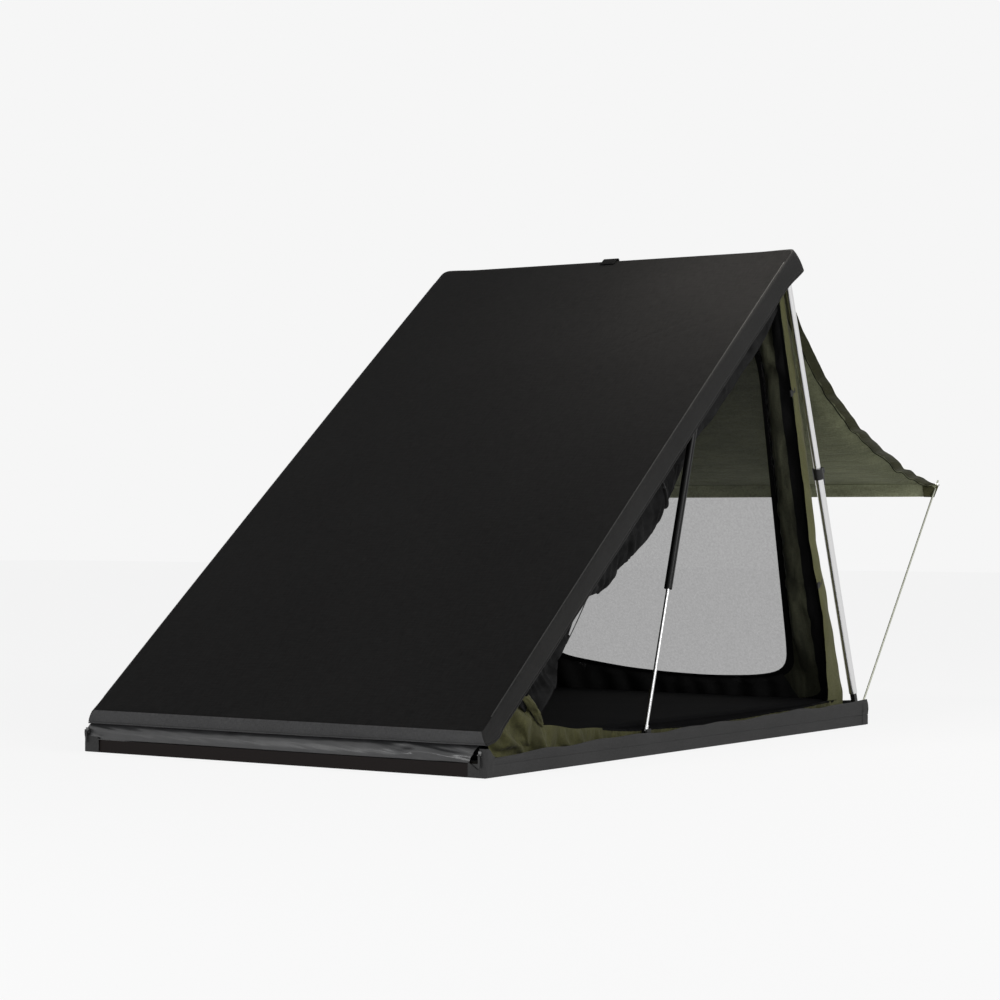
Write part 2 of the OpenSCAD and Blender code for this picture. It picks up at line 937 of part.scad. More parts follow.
// Lid: panel in a frame of four hollow bars
module lid_panel() {
  color("#2f2f2f")
    on_lid()
      translate([-bar_x + bar_w, lid_front + 6 + bar_w, bar_top - panel_t])
        cube([2 * (bar_x - bar_w), bar_rear - lid_front - 6 - 2 * bar_w, panel_t]);
}

module bar_section() {
  difference() {
    square([bar_w, bar_top - bar_low]);
    translate([2, 2])
      square([bar_w - 4, bar_top - bar_low - 4]);
  }
}

// Bars across the lid; their outer corners are cut back to lie inside the cover's rounded corners
bar_cut = 18;

module bar_across(y, s) {
  on_lid()
    difference() {
      translate([-bar_x, y, bar_low])
        rotate([90, 0, 90])
          linear_extrude(2 * bar_x)
            bar_section();
      for (sx = [-1, 1])
        translate([sx * bar_x, y + bar_w / 2 + s * bar_w / 2, bar_low - 1])
          linear_extrude(bar_top - bar_low + 2)
            polygon([[sx, s], [-sx * bar_cut, s], [-sx * bar_cut, 0], [0, -s * bar_cut],
              [sx, -s * bar_cut]]);
    }
}

module lid_bar_front() {
  color("#303030")
    bar_across(lid_front + 6, -1);
}

module lid_bar_rear() {
  color("#303030")
    bar_across(bar_rear - bar_w, 1);
}

module bar_along() {
  on_lid()
    translate([bar_x - bar_w, bar_rear - bar_w, bar_low])
      rotate([90, 0, 0])
        linear_extrude(bar_rear - lid_front - 6 - 2 * bar_w)
          bar_section();
}

module lid_bar_right() {
  color("#303030")
    bar_along();
}

module lid_bar_left() {
  color("#303030")
    mirror([1, 0, 0])
      bar_along();
}

// Woven cover drawn over the lid, with a skirt that hangs deeper towards the rear
cov_n = 72;
cov_mid = (lid_front + lid_rear) / 2;
function cov_low(y) = 5 - 14 * pow((y - lid_front) / lid_l, 2) + 9.5 * exp(-(y - lid_front) / 60);
function cov_rise(p) =
  cover_crown * (1 - pow(p[0] / lid_half, 2) * 0.55) * (1 - pow(2 * (p[1] - cov_mid) / lid_l, 2));
function cov_ring(inset, r, z) = [for (p = soft_rect(lid_half - inset, lid_l / 2 - inset, r, cov_n))
  let (q = [p[0], p[1] + cov_mid])
  [q[0], q[1], z + cov_rise(q) * (z > 30 ? 1 : 0)]];
function cov_hem(inset, r) = [for (p = soft_rect(lid_half - inset, lid_l / 2 - inset, r, cov_n))
  [p[0], p[1] + cov_mid, cov_low(p[1] + cov_mid)]];

module lid_cover() {
  rings = concat(
    [[for (p = cov_ring(lid_half * 0.55, 60, lid_top - cover_t)) p],
      cov_ring(40, 40, lid_top - cover_t), cov_ring(6, 18, lid_top - cover_t - 0.6),
      cov_ring(cover_t + 0.6, 22, lid_top - 10), cov_ring(cover_t, 22, 31), cov_ring(cover_t, 22, 29),
      cov_hem(cover_t, 26), cov_hem(0, 33), cov_ring(0, 33, 29), cov_ring(0, 33, 31),
      cov_ring(0.4, 33, lid_top - 8), cov_ring(2.6, 33, lid_top - 2.4), cov_ring(8, 33, lid_top),
      cov_ring(40, 43, lid_top), cov_ring(lid_half * 0.55, 63, lid_top)]);
  color("#1d1d1d")
    on_lid()
      ringed(rings, [0, cov_mid, lid_top - cover_t + cover_crown], [0, cov_mid, lid_top + cover_crown]);
}

// Light piping sewn along the two long upper edges of the cover
module lid_piping() {
  n = 24;
  color("#8a8a86")
    on_lid()
      for (s = [0, 1])
        mirror([s, 0, 0])
          cloth(n, 1, 2.6, [0, 0, 1], function(u, v)
            let (y = lid_front + 50 + (lid_l - 110) * u)
            [lid_half - 8.6 + 2.6 * v, y, lid_top + 1.8 + cov_rise([lid_half - 8, y])]);
}

// Webbing loop at the middle of the rear edge, to pull the lid down
module pull_strap() {
  color("#141414")
    on_lid()
      translate([-27, lid_rear, lid_top])
        rotate([90, 0, 90])
          linear_extrude(54)
            difference() {
              polygon([[0.6, -34], [3, -34], [3, -12], [18, 2], [16, 12], [4, 13], [-26, 4.6],
                [-26, 2.4], [4, 10.4], [14, 9.6], [15, 3], [0.6, -10]]);
            }
}

// Rolled-up door that hangs under the near edge of the lid, fullest near the strut
roll_n = 16;
roll_start = 0.27 * lid_l;
roll_run = 0.602 * lid_l;
function roll_r(g) = 12 + 18 * min(1, g / 0.12) + 42 * exp(-pow((g - 0.385) / 0.2, 2)) + 2 * sin(360 * 5 * g);
function roll_ring(g) =
  let (y = roll_start + roll_run * g, r = roll_r(g))
  [for (k = [0 : roll_n - 1])
    let (a = 360 * k / roll_n, w = 1 + 0.08 * sin(3 * a + 700 * g))
    in_lid([wall_x - 26 - 0.45 * r + 0.45 * r * w * cos(a), y, -9 - r + r * w * sin(a)])];

module door_roll() {
  m = 40;
  color("#1b1b1d")
    ringed([for (i = [0 : m]) roll_ring(i / m)],
      in_lid([wall_x - 32, roll_start - 4, -9 - roll_r(0)]),
      in_lid([wall_x - 32, roll_start + roll_run + 4, -9 - roll_r(1)]));
}

// Straps with toggles that hold the rolled door
module door_toggles() {
  color("#0e0e0e")
    for (g = [0.45, 0.68, 0.89])
      on_lid()
        translate([wall_x - 18.4, roll_start + roll_run * g, 0]) {
          translate([0, -9, -8 - roll_r(g)])
            cube([2.4, 18, roll_r(g) + 8 + bar_top - panel_t]);
          translate([2.4, -14, -roll_r(g)])
            cube([7, 28, 7]);
        }
}

// Awning cloth with a hem, its corner grommets and the rods that spread it
module awning() {
  color("#4a4e33")
    cloth(24, 18, 2.4, [0, 0.35, 0.94], function(u, v) awning_pt(u, v), true);
}

module awning_grommets() {
  color("#b8b8b0")
    for (s = [-1, 1])
      translate([s * rod_top[0], rod_top[1], rod_top[2]])
        rotate([-16, 0, 0])
          difference() {
            cylinder(r = 11, h = 2);
            translate([0, 0, -1])
              cylinder(r = 5.5, h = 5);
          }
}

module awning_rod() {
  at_rod()
    translate([0, 0, -5])
      cylinder(r = rod_r, h = rod_len + 25);
}

module awning_rod_right() {
  color("#9a9c88")
    awning_rod();
}

module awning_rod_left() {
  color("#9a9c88")
    mirror([1, 0, 0])
      awning_rod();
}

floor_panel();
rail_front();
rail_rear();
rail_left();
rail_right();
corner_blocks();
mount_rail_left();
mount_rail_right();
mount_rivets();
hinge_brackets();
hinge_pins();
strut_studs_base();
pole_foot_left();
pole_foot_right();
mattress();
skirt_left();
skirt_right();
skirt_rear();
front_strip();
corner_patches();
zip_slider_left();
zip_slider_right();
zip_pull_left();
zip_pull_right();
wall_left();
wall_right();
wall_rear();
mesh_rear();
wall_clips();
lid_panel();
lid_bar_front();
lid_bar_rear();
lid_bar_left();
lid_bar_right();
lid_cover();
lid_piping();
hinge_leaves();
strut_studs_lid();
pole_hooks();
pull_strap();
door_roll();
door_toggles();
strut_rod_left();
strut_rod_right();
strut_cylinder_left();
strut_cylinder_right();
pole_lower_left();
pole_lower_right();
pole_collar_left();
pole_collar_right();
pole_lever_left();
pole_lever_right();
pole_upper_left();
pole_upper_right();
awning();
awning_grommets();
awning_rod_left();
awning_rod_right();
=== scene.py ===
from math import atan2, copysign, cos, dist, exp, hypot, pi, radians, sin
import bpy
import bmesh
from mathutils import Matrix, Vector, noise


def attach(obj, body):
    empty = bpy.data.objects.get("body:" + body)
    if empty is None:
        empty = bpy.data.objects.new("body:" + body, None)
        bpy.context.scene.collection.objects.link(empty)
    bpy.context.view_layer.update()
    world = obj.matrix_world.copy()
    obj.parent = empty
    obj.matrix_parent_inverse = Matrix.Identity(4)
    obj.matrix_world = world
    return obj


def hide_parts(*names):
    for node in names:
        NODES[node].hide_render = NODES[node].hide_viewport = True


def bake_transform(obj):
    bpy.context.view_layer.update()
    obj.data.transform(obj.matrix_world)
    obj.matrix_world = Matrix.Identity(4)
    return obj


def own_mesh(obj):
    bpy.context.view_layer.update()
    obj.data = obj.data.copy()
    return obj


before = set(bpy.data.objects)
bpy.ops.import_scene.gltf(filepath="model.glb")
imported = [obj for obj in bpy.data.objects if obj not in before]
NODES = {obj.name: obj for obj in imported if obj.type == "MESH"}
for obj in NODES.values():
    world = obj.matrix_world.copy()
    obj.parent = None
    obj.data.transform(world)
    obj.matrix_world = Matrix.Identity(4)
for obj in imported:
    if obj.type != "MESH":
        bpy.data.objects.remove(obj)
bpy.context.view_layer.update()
SIDES = ((1, "right"), (-1, "left"))

# Sizes in metres, the same as the CAD source; HY and HZ are the place of the lid's hinge line
HALF_L, HALF_W = 1.05, 0.634
HY, HZ = -1.003, 0.058
ANGLE = radians(38.74)
CA, SA = cos(ANGLE), sin(ANGLE)
LID_HALF, LID_FRONT, LID_L, LID_TOP = 0.6185, 0.002, 2.076, 0.062
LID_REAR = LID_FRONT + LID_L
WALL_X, WALL_LOW, WALL_BACK = 0.568, 0.041, 0.978


def in_lid(x, y, z):
    """A point given in the open lid's own axes: across, along it from the hinge, and square to it."""
    return Vector((x, HY + y * CA - z * SA, HZ + y * SA + z * CA))


def nz(x, y=0.0, z=0.0):
    return noise.noise(Vector((x, y, z)))


def bell(t):
    """1 at 0, and down to nothing on both sides by about 2."""
    return exp(-t ** 2)


def smooth(t):
    """0 up to 0 and 1 from 1 on, eased between."""
    t = min(1.0, max(0.0, t))
    return t * t * (3 - 2 * t)


# Materials


def wire(nt, n, inputs):
    """Sets the inputs of a shader node: a socket is linked to it, anything else is its value."""
    for key, value in inputs.items():
        if isinstance(value, bpy.types.NodeSocket):
            nt.links.new(value, n.inputs[key])
        else:
            n.inputs[key].default_value = value


def add_node(nt, kind, inputs=None, op=None):
    n = nt.nodes.new("ShaderNode" + kind)
    if op:
        n.operation = op
    wire(nt, n, inputs or {})
    return n


def new_mat(name):
    m = bpy.data.materials.new(name)
    m.use_nodes = True
    return m, m.node_tree, m.node_tree.nodes["Principled BSDF"]


def noise_fac(nt, scale, detail, stretch=None, space="Object", **more):
    """A noise over the object's or the cloth's own coordinates, drawn out along an axis where stretch is given."""
    at = add_node(nt, "TexCoord").outputs[space]
    if stretch:
        at = add_node(nt, "Mapping", {"Vector": at, "Scale": stretch}).outputs["Vector"]
    return add_node(nt, "TexNoise", {"Vector": at, "Scale": scale, "Detail": detail, **more}).outputs["Fac"]


def fabric(name, color, rough=0.75, sheen=0.03, spec=0.15, thread=700, bump=0.25, blotch=0.25, blotch_scale=6.0,
           fold=0.0, fold_scale=14.0, crease_shade=0.0, run=(1, 1, 1)):
    """Woven cloth: threads and blotches vary its colour, and folds dent it where fold is above 0, with painted shade
    in the bottoms of the folds and painted light on their ridges.
    """
    m, nt, b = new_mat(name)
    # warp and weft: two noises drawn out along the threads
    warp = noise_fac(nt, 1.0, 2.0, (thread * 0.12, thread, 1), "UV")
    weft = noise_fac(nt, 1.0, 2.0, (thread, thread * 0.12, 1), "UV")
    both = add_node(nt, "Math", {0: warp, 1: weft}, "ADD").outputs[0]
    weave = add_node(nt, "Math", {0: both, 1: 0.5}, "MULTIPLY").outputs[0]
    # thread and blotch both vary the colour
    stain = add_node(nt, "Math", {0: noise_fac(nt, blotch_scale, 4.0), 1: blotch}, "MULTIPLY").outputs[0]
    vary = add_node(nt, "Math", {0: weave, 1: 1.0 - blotch, 2: stain}, "MULTIPLY_ADD").outputs[0]
    ramp = add_node(nt, "ValToRGB", {"Fac": vary})
    for stop, place, gain in zip(ramp.color_ramp.elements, (0.3, 0.7), (0.55, 1.7)):
        stop.position = place
        stop.color = (*(c * gain for c in color), 1)
    shade = ramp.outputs["Color"]
    dent = add_node(nt, "Bump", {"Strength": bump, "Distance": 0.0006, "Height": weave}).outputs["Normal"]
    if fold > 0:
        folds = noise_fac(nt, fold_scale, 3.0, run, Distortion=0.8)
        crumple = add_node(nt, "Bump", {"Strength": fold, "Distance": 0.01, "Height": folds, "Normal": dent})
        dent = crumple.outputs["Normal"]
        # painted shade in the bottoms of the creases and painted light on their ridges
        crease_shading = add_node(nt, "MapRange", {"Value": folds, "From Min": 0.34, "From Max": 0.66, "To Min": 1.0 - crease_shade,
                                         "To Max": 1.0 + crease_shade})
        shade = add_node(nt, "VectorMath", {0: shade, "Scale": crease_shading.outputs["Result"]}, "SCALE").outputs["Vector"]
    wire(nt, b, {"Roughness": rough, "Specular IOR Level": spec, "Sheen Weight": sheen, "Sheen Roughness": 0.5,
                 "Base Color": shade, "Normal": dent})
    return m


def metal(name, color, rough, brushed=0.0):
    m, nt, b = new_mat(name)
    wire(nt, b, {"Base Color": (*color, 1), "Metallic": 1.0, "Roughness": rough})
    if brushed:
        grain = add_node(nt, "MapRange", {"Value": noise_fac(nt, 1.0, 3.0, (300, 300, 3)),
                                          "To Min": max(0.05, rough - brushed), "To Max": rough + brushed})
        wire(nt, b, {"Roughness": grain.outputs["Result"]})
    return m


def paint(name, color, rough, spec):
    m, nt, b = new_mat(name)
    n = noise_fac(nt, 220.0, 2.0)
    grain = add_node(nt, "MapRange", {"Value": n, "To Min": rough - 0.04, "To Max": rough + 0.04})
    dent = add_node(nt, "Bump", {"Strength": 0.08, "Distance": 0.0004, "Height": n})
    wire(nt, b, {"Base Color": (*color, 1), "Specular IOR Level": spec, "Roughness": grain.outputs["Result"],
                 "Normal": dent.outputs["Normal"]})
    return m


def mesh_cloth(name, color, clear):
    """Insect mesh: clear is the share of light that passes between its threads."""
    m, nt, b = new_mat(name)
    wire(nt, b, {"Base Color": (*color, 1), "Roughness": 0.9, "Specular IOR Level": 0.1})
    share = add_node(nt, "MapRange", {"Value": noise_fac(nt, 160.0, 2.0), "From Min": 0.3, "From Max": 0.7,
                                      "To Min": clear - 0.03, "To Max": clear + 0.03})
    through = add_node(nt, "BsdfTransparent")
    mix = add_node(nt, "MixShader", {"Fac": share.outputs["Result"], 1: b.outputs["BSDF"], 2: through.outputs["BSDF"]})
    wire(nt, nt.nodes["Material Output"], {"Surface": mix.outputs["Shader"]})
    return m


M_COVER = fabric("cover_cloth", (0.0050, 0.0049, 0.0048), rough=0.8, sheen=0.02, spec=0.035, thread=230, bump=0.5,
                 blotch=0.2, blotch_scale=3.0)
M_BAND = fabric("cover_band", (0.0122, 0.0120, 0.0117), spec=0.07, thread=600, bump=0.3, blotch=0.3)
# the cover's front face is the same cloth in a lighter colour: painted light for its lit front face
M_FRONT_LIT = fabric("cover_front_hem_painted_light", (0.0330, 0.0330, 0.0335), rough=0.7, thread=600, bump=0.3, blotch=0.3)
M_PIPING = fabric("piping_cloth", (0.026, 0.026, 0.025), rough=0.8, sheen=0.05, thread=900)
M_COATED = fabric("coated_cloth", (0.0190, 0.0192, 0.0200), rough=0.36, sheen=0.0, spec=0.6, thread=1200, bump=0.08,
                  blotch=0.5, blotch_scale=20)
M_SKIRT = fabric("skirt_cloth", (0.020, 0.020, 0.020), spec=0.2, thread=800, bump=0.2)
M_OLIVE = fabric("olive_cloth", (0.044, 0.043, 0.0150), sheen=0.05, spec=0.2, fold=0.35, fold_scale=22, crease_shade=0.22,
                 run=(1, 1, 0.6))
M_DARK = fabric("dark_olive_cloth", (0.0250, 0.0260, 0.0160), rough=0.85, fold=0.6, crease_shade=0.45, run=(2.2, 1, 0.28))
# black binding; the same black also paints shadow on the rear wall and on the sill's top edge
M_BLACK = fabric("black_binding_and_shadow", (0.0028, 0.0028, 0.0029), rough=0.85, sheen=0.0, spec=0.08, thread=900)
M_FOOT = fabric("foot_band_cloth", (0.010, 0.010, 0.010), rough=0.85, sheen=0.0, spec=0.08, thread=900)
M_DOOR = fabric("door_cloth", (0.0042, 0.0042, 0.0043), sheen=0.01, spec=0.06, thread=800, fold=0.7, fold_scale=20,
                crease_shade=0.75, run=(1, 0.6, 0.9))
M_MATTRESS = fabric("mattress_cloth", (0.0016, 0.0016, 0.0018), rough=0.9, sheen=0.0, spec=0.05, thread=500)
M_AWNING = fabric("awning_cloth", (0.148, 0.158, 0.0930), rough=0.8, thread=600, fold=0.5, fold_scale=16, crease_shade=0.11,
                  run=(0.6, 2.0, 2.0))
M_HEM = fabric("awning_hem_cloth", (0.046, 0.047, 0.0190), rough=0.7, sheen=0.05, spec=0.25, fold=0.35, fold_scale=40)
# the valance is the awning cloth made lighter: painted light that makes up for the shade on its upright face
M_VALANCE_LIT = fabric("awning_valance_painted_light", (0.36, 0.378, 0.245), rough=0.8, thread=600, fold=0.3, fold_scale=16,
                   crease_shade=0.15, run=(0.6, 2.0, 2.0))
M_WEB = fabric("webbing", (0.006, 0.006, 0.006), rough=0.8, sheen=0.15, spec=0.2, thread=1500, bump=0.6)
M_MESH = mesh_cloth("insect_mesh", (0.05, 0.05, 0.05), 0.41)
M_EDGE = fabric("wall_edge_cloth", (0.066, 0.066, 0.0270), sheen=0.05, spec=0.2, fold=0.2, fold_scale=22)
M_ALU = metal("aluminium_tube", (0.70, 0.70, 0.70), 0.30, 0.06)
M_ALU_D = metal("dark_aluminium", (0.12, 0.12, 0.12), 0.45, 0.06)
M_CHROME = metal("chrome_rod", (0.55, 0.55, 0.55), 0.2)
M_STEEL = metal("plain_steel", (0.62, 0.62, 0.60), 0.32, 0.06)
M_ROD = metal("rod_steel", (0.42, 0.43, 0.36), 0.42, 0.05)
M_GLOSS = paint("black_gloss", (0.003, 0.003, 0.003), 0.35, 0.14)
M_BLKRAIL = paint("black_rail_paint", (0.0070, 0.0050, 0.0046), 0.5, 0.08)
M_GREYRAIL = paint("grey_rail_paint", (0.03, 0.03, 0.03), 0.45, 0.35)
M_PLASTIC = paint("black_plastic", (0.007, 0.007, 0.007), 0.45, 0.35)
M_FLOOR = paint("floor_skin", (0.012, 0.012, 0.012), 0.6, 0.2)
M_PANEL = paint("lid_skin", (0.006, 0.006, 0.006), 0.6, 0.15)

# Materials of the CAD nodes: the first line that a name starts with counts, and the rest are black plastic
LOOKS = (
    ("floor_panel", M_FLOOR), ("rail_front", M_BLKRAIL), ("rail_", M_GREYRAIL), ("mount_rail", M_ALU),
    ("mount_rivets", M_STEEL), ("hinge_pins", M_STEEL), ("awning_grommets", M_STEEL), ("lid_bar", M_ALU_D),
    ("lid_panel", M_PANEL), ("strut_rod", M_CHROME), ("strut_cylinder", M_GLOSS), ("pole_lower", M_ALU),
    ("pole_upper", M_ALU), ("awning_rod", M_ROD), ("zip_slider", M_ALU_D), ("hinge_", M_GREYRAIL),
    ("strut_studs", M_GREYRAIL), ("pole_hooks", M_GREYRAIL), ("", M_PLASTIC))
for n in NODES:
    looks = NODES[n].data.materials
    looks.clear()
    looks.append(next(m for start, m in LOOKS if n.startswith(start)))

# the knuckle at the foot of each pole is black; its tube starts above it
POLE_FOOT_Z, KNUCKLE, POLE_TILT = 0.050, 0.050, radians(19.37)
for n in ("pole_lower_left", "pole_lower_right"):
    o = NODES[n]
    o.data.materials.append(M_PLASTIC)
    for f in o.data.polygons:
        if (o.matrix_world @ f.center)[2] < POLE_FOOT_Z + (KNUCKLE - 0.001) * cos(POLE_TILT):
            f.material_index = 1

# Mesh tools


def dress(o, body, replaces=None):
    """Says which body a piece rides on and which CAD node it takes the place of."""
    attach(o, body)
    if replaces:
        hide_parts(replaces)


def from_grid(name, cells, mats, closed=False, mat_of=None):
    """A mesh from rows of cells, each a point and its cloth coordinate in metres; mats is a material or a list."""
    nu, nv = len(cells), len(cells[0])
    faces, slots = [], []
    for i in range(nu if closed else nu - 1):
        k = (i + 1) % nu
        for j in range(nv - 1):
            faces.append((i * nv + j, k * nv + j, k * nv + j + 1, i * nv + j + 1))
            slots.append(mat_of(i, j) if mat_of else 0)
    flat = [cell for row in cells for cell in row]
    me = bpy.data.meshes.new(name)
    me.from_pydata([tuple(p) for p, uv in flat], [], faces)
    layer = me.uv_layers.new(name="UVMap")
    layer.data.foreach_set("uv", [c for face in faces for v in face for c in flat[v][1]])
    for m in mats if isinstance(mats, list) else [mats]:
        me.materials.append(m)
    me.polygons.foreach_set("material_index", slots)
    me.polygons.foreach_set("use_smooth", [True] * len(faces))
    me.update()
    o = bpy.data.objects.new(name, me)
    bpy.context.scene.collection.objects.link(o)
    return o


def sheet_grid(name, nu, nv, f, mats, su, sv, **kw):
    """A mesh of nu by nv faces from f(u, v); su and sv are its flat size."""
    cells = [[(f(i / nu, j / nv), (su * i / nu, sv * j / nv)) for j in range(nv + 1)] for i in range(nu + 1)]
    return from_grid(name, cells, mats, **kw)


def pins(nu, nv, held):
    """Numbers of the points of a sheet_grid that a simulation holds: those for which held(i, j) is true."""
    return [i * (nv + 1) + j for i in range(nu + 1) for j in range(nv + 1) if held(i, j)]


def close_up(o, weld=None, rounded=False):
    """Welds points that lie together, fills the open ends and turns all faces outwards."""
    bm = bmesh.new()
    bm.from_mesh(o.data)
    if weld:
        bmesh.ops.remove_doubles(bm, verts=bm.verts, dist=weld)
    bmesh.ops.holes_fill(bm, edges=[e for e in bm.edges if e.is_boundary], sides=0)
    bmesh.ops.recalc_face_normals(bm, faces=bm.faces)
    if rounded:
        for f in bm.faces:
            f.smooth = True
    bm.to_mesh(o.data)
    bm.free()
    return o


def cap(o, ring, outward=False):
    """Closes the middle of a mesh of closed rows; ring has the cloth coordinates along its last ring of points."""
    bm = bmesh.new()
    bm.from_mesh(o.data)
    bm.verts.ensure_lookup_table()
    step = len(bm.verts) // len(ring)
    f = bm.faces.new([bm.verts[i * step + step - 1] for i in range(len(ring))])
    f.smooth = True
    layer = bm.loops.layers.uv.active
    for loop, uv in zip(f.loops, ring):
        loop[layer].uv = uv
    if outward:
        bmesh.ops.recalc_face_normals(bm, faces=bm.faces)
    bm.to_mesh(o.data)
    bm.free()
    return o


def tube(name, pts, r, mat, ring=8, flat=1.0):
    """A closed tube along a list of points."""
    pts = [Vector(p) for p in pts]
    rows, run = [], 0.0
    up = Vector((0.31, 0.17, 0.93))
    turns = [2 * pi * k / ring for k in range(ring + 1)]
    for i, p in enumerate(pts):
        a, b = pts[max(0, i - 1)], pts[min(len(pts) - 1, i + 1)]
        t = (b - a).normalized()
        n = (up - t * up.dot(t)).normalized()
        q = t.cross(n)
        rows.append([(p + (n * cos(a) + q * sin(a) * flat) * r, (run, 2 * pi * r * k / ring))
                     for k, a in enumerate(turns)])
        if i + 1 < len(pts):
            run += (pts[i + 1] - p).length
    return close_up(from_grid(name, rows, mat), weld=1e-6)


def thick(o, t):
    m = o.modifiers.new("thick", "SOLIDIFY")
    m.thickness = t
    m.offset = 0.0
    apply_mod(o, m)
    return o


def apply_mod(o, m):
    bpy.context.view_layer.update()
    dg = bpy.context.evaluated_depsgraph_get()
    new = bpy.data.meshes.new_from_object(o.evaluated_get(dg))
    o.modifiers.remove(m)
    old = o.data
    o.data = new
    bpy.data.meshes.remove(old)


def area(o):
    return sum(p.area for p in o.data.polygons)


def cloth_sheet(o, w, l):
    """Reckons a sheet's flat area and the length of the rectangle it was cut from; neither is kept."""
    a = area(o)
    l = max(l, a / w)


def settle(o, pinned, frames=30, mass=0.25, tension=25.0, bending=0.4, slack=0.0, gravity=1.0, pressure=0.0):
    """Lets a cloth hang from its pinned points and keeps the settled shape."""
    g = o.vertex_groups.new(name="pin")
    g.add(pinned, 1.0, "REPLACE")
    m = o.modifiers.new("hang", "CLOTH")
    c = m.settings
    c.quality = 6
    c.mass = mass
    c.tension_stiffness = c.compression_stiffness = tension
    c.shear_stiffness = tension * 0.4
    c.bending_stiffness = bending
    c.tension_damping = c.compression_damping = 8
    c.air_damping = 2.0
    c.shrink_min = -slack
    c.vertex_group_mass = "pin"
    c.effector_weights.gravity = gravity
    if pressure:
        c.use_pressure = True
        c.uniform_pressure_force = pressure
    m.collision_settings.use_collision = False
    m.point_cache.frame_start = 1
    m.point_cache.frame_end = frames
    sc = bpy.context.scene
    for f in range(1, frames + 1):
        sc.frame_set(f)
    apply_mod(o, m)
    sc.frame_set(1)
    o.vertex_groups.clear()
    for q in o.data.polygons:
        q.use_smooth = True


def box_mesh(name, size, centre, mat, bevel=0.0):
    bm = bmesh.new()
    bmesh.ops.create_cube(bm, size=1.0)
    bmesh.ops.scale(bm, vec=Vector(size), verts=bm.verts)
    if bevel:
        bmesh.ops.bevel(bm, geom=list(bm.edges), offset=bevel, segments=2, affect="EDGES", profile=0.6)
    me = bpy.data.meshes.new(name)
    bm.to_mesh(me)
    bm.free()
    me.materials.append(mat)
    o = bpy.data.objects.new(name, me)
    o.location = centre
    bpy.context.scene.collection.objects.link(o)
    return o


# Lid cover: the lid's middle, the radius of its top edge, and the steps up its side band
COV_MID = (LID_FRONT + LID_REAR) / 2
EDGE_R = 0.007
HEM, BAND, TOP = "hem", "band", "top"
BAND_STEPS = (0.25, 0.45, 0.65, 0.82)
TOP_INSETS = (0.014, 0.02, 0.03, 0.05, 0.08, 0.13, 0.2, 0.28, 0.36, 0.44, 0.52, 0.59)


def cov_low(y):
    return (5 - 14 * ((y - LID_FRONT) / LID_L) ** 2 + 9.5 * exp(-(y - LID_FRONT) / 0.06)) / 1000


def cov_rise(x, y):
    return 0.009 * (1 - (x / LID_HALF) ** 2 * 0.55) * (1 - (2 * (y - COV_MID) / LID_L) ** 2)


def rect_loop(hx, hy, r, per_side_x, per_side_y, per_corner):
    """Points round a rounded rectangle, always the same count."""
    corners = ((1, 1), (-1, 1), (-1, -1), (1, -1))
    out = []
    for c, (sx, sy) in enumerate(corners):
        nx, ny = corners[(c + 1) % 4]
        cx, cy = sx * (hx - r), sy * (hy - r)
        for k in range(per_corner):
            a = radians(90 * c + 90 * k / per_corner)
            out.append((cx + r * cos(a), cy + r * sin(a)))
        end = radians(90 * c + 90)
        ax, ay = cx + r * cos(end), cy + r * sin(end)
        bx, by = nx * (hx - r) + r * cos(end), ny * (hy - r) + r * sin(end)
        steps = per_side_y if c % 2 else per_side_x
        out += [(ax + (bx - ax) * k / steps, ay + (by - ay) * k / steps) for k in range(steps)]
    return out


def cover_profile():
    """Rows from the hem to the middle: kind, inset from the outer face, place, corner radius. The place is mm over
    the hem's edge, a share of the band's height, or a height over the hinge."""
    hem = ((0.0035, 6, 0.010), (0.0030, 1, 0.011), (0.0008, 0, 0.012), (0.0, 2, 0.012), (0.0001, 5, 0.012),
           (0.0026, 6, 0.012), (0.0002, 7, 0.012))
    prof = [(HEM, *row) for row in hem]
    prof += [(BAND, 0.0, g, 0.012 + 0.006 * g) for g in BAND_STEPS]
    for k in range(1, 7):
        a = radians(15 * k)
        prof.append((TOP, EDGE_R * (1 - cos(a)), LID_TOP - EDGE_R + EDGE_R * sin(a), 0.018))
    return prof + [(TOP, ins, LID_TOP, 0.02) for ins in TOP_INSETS]


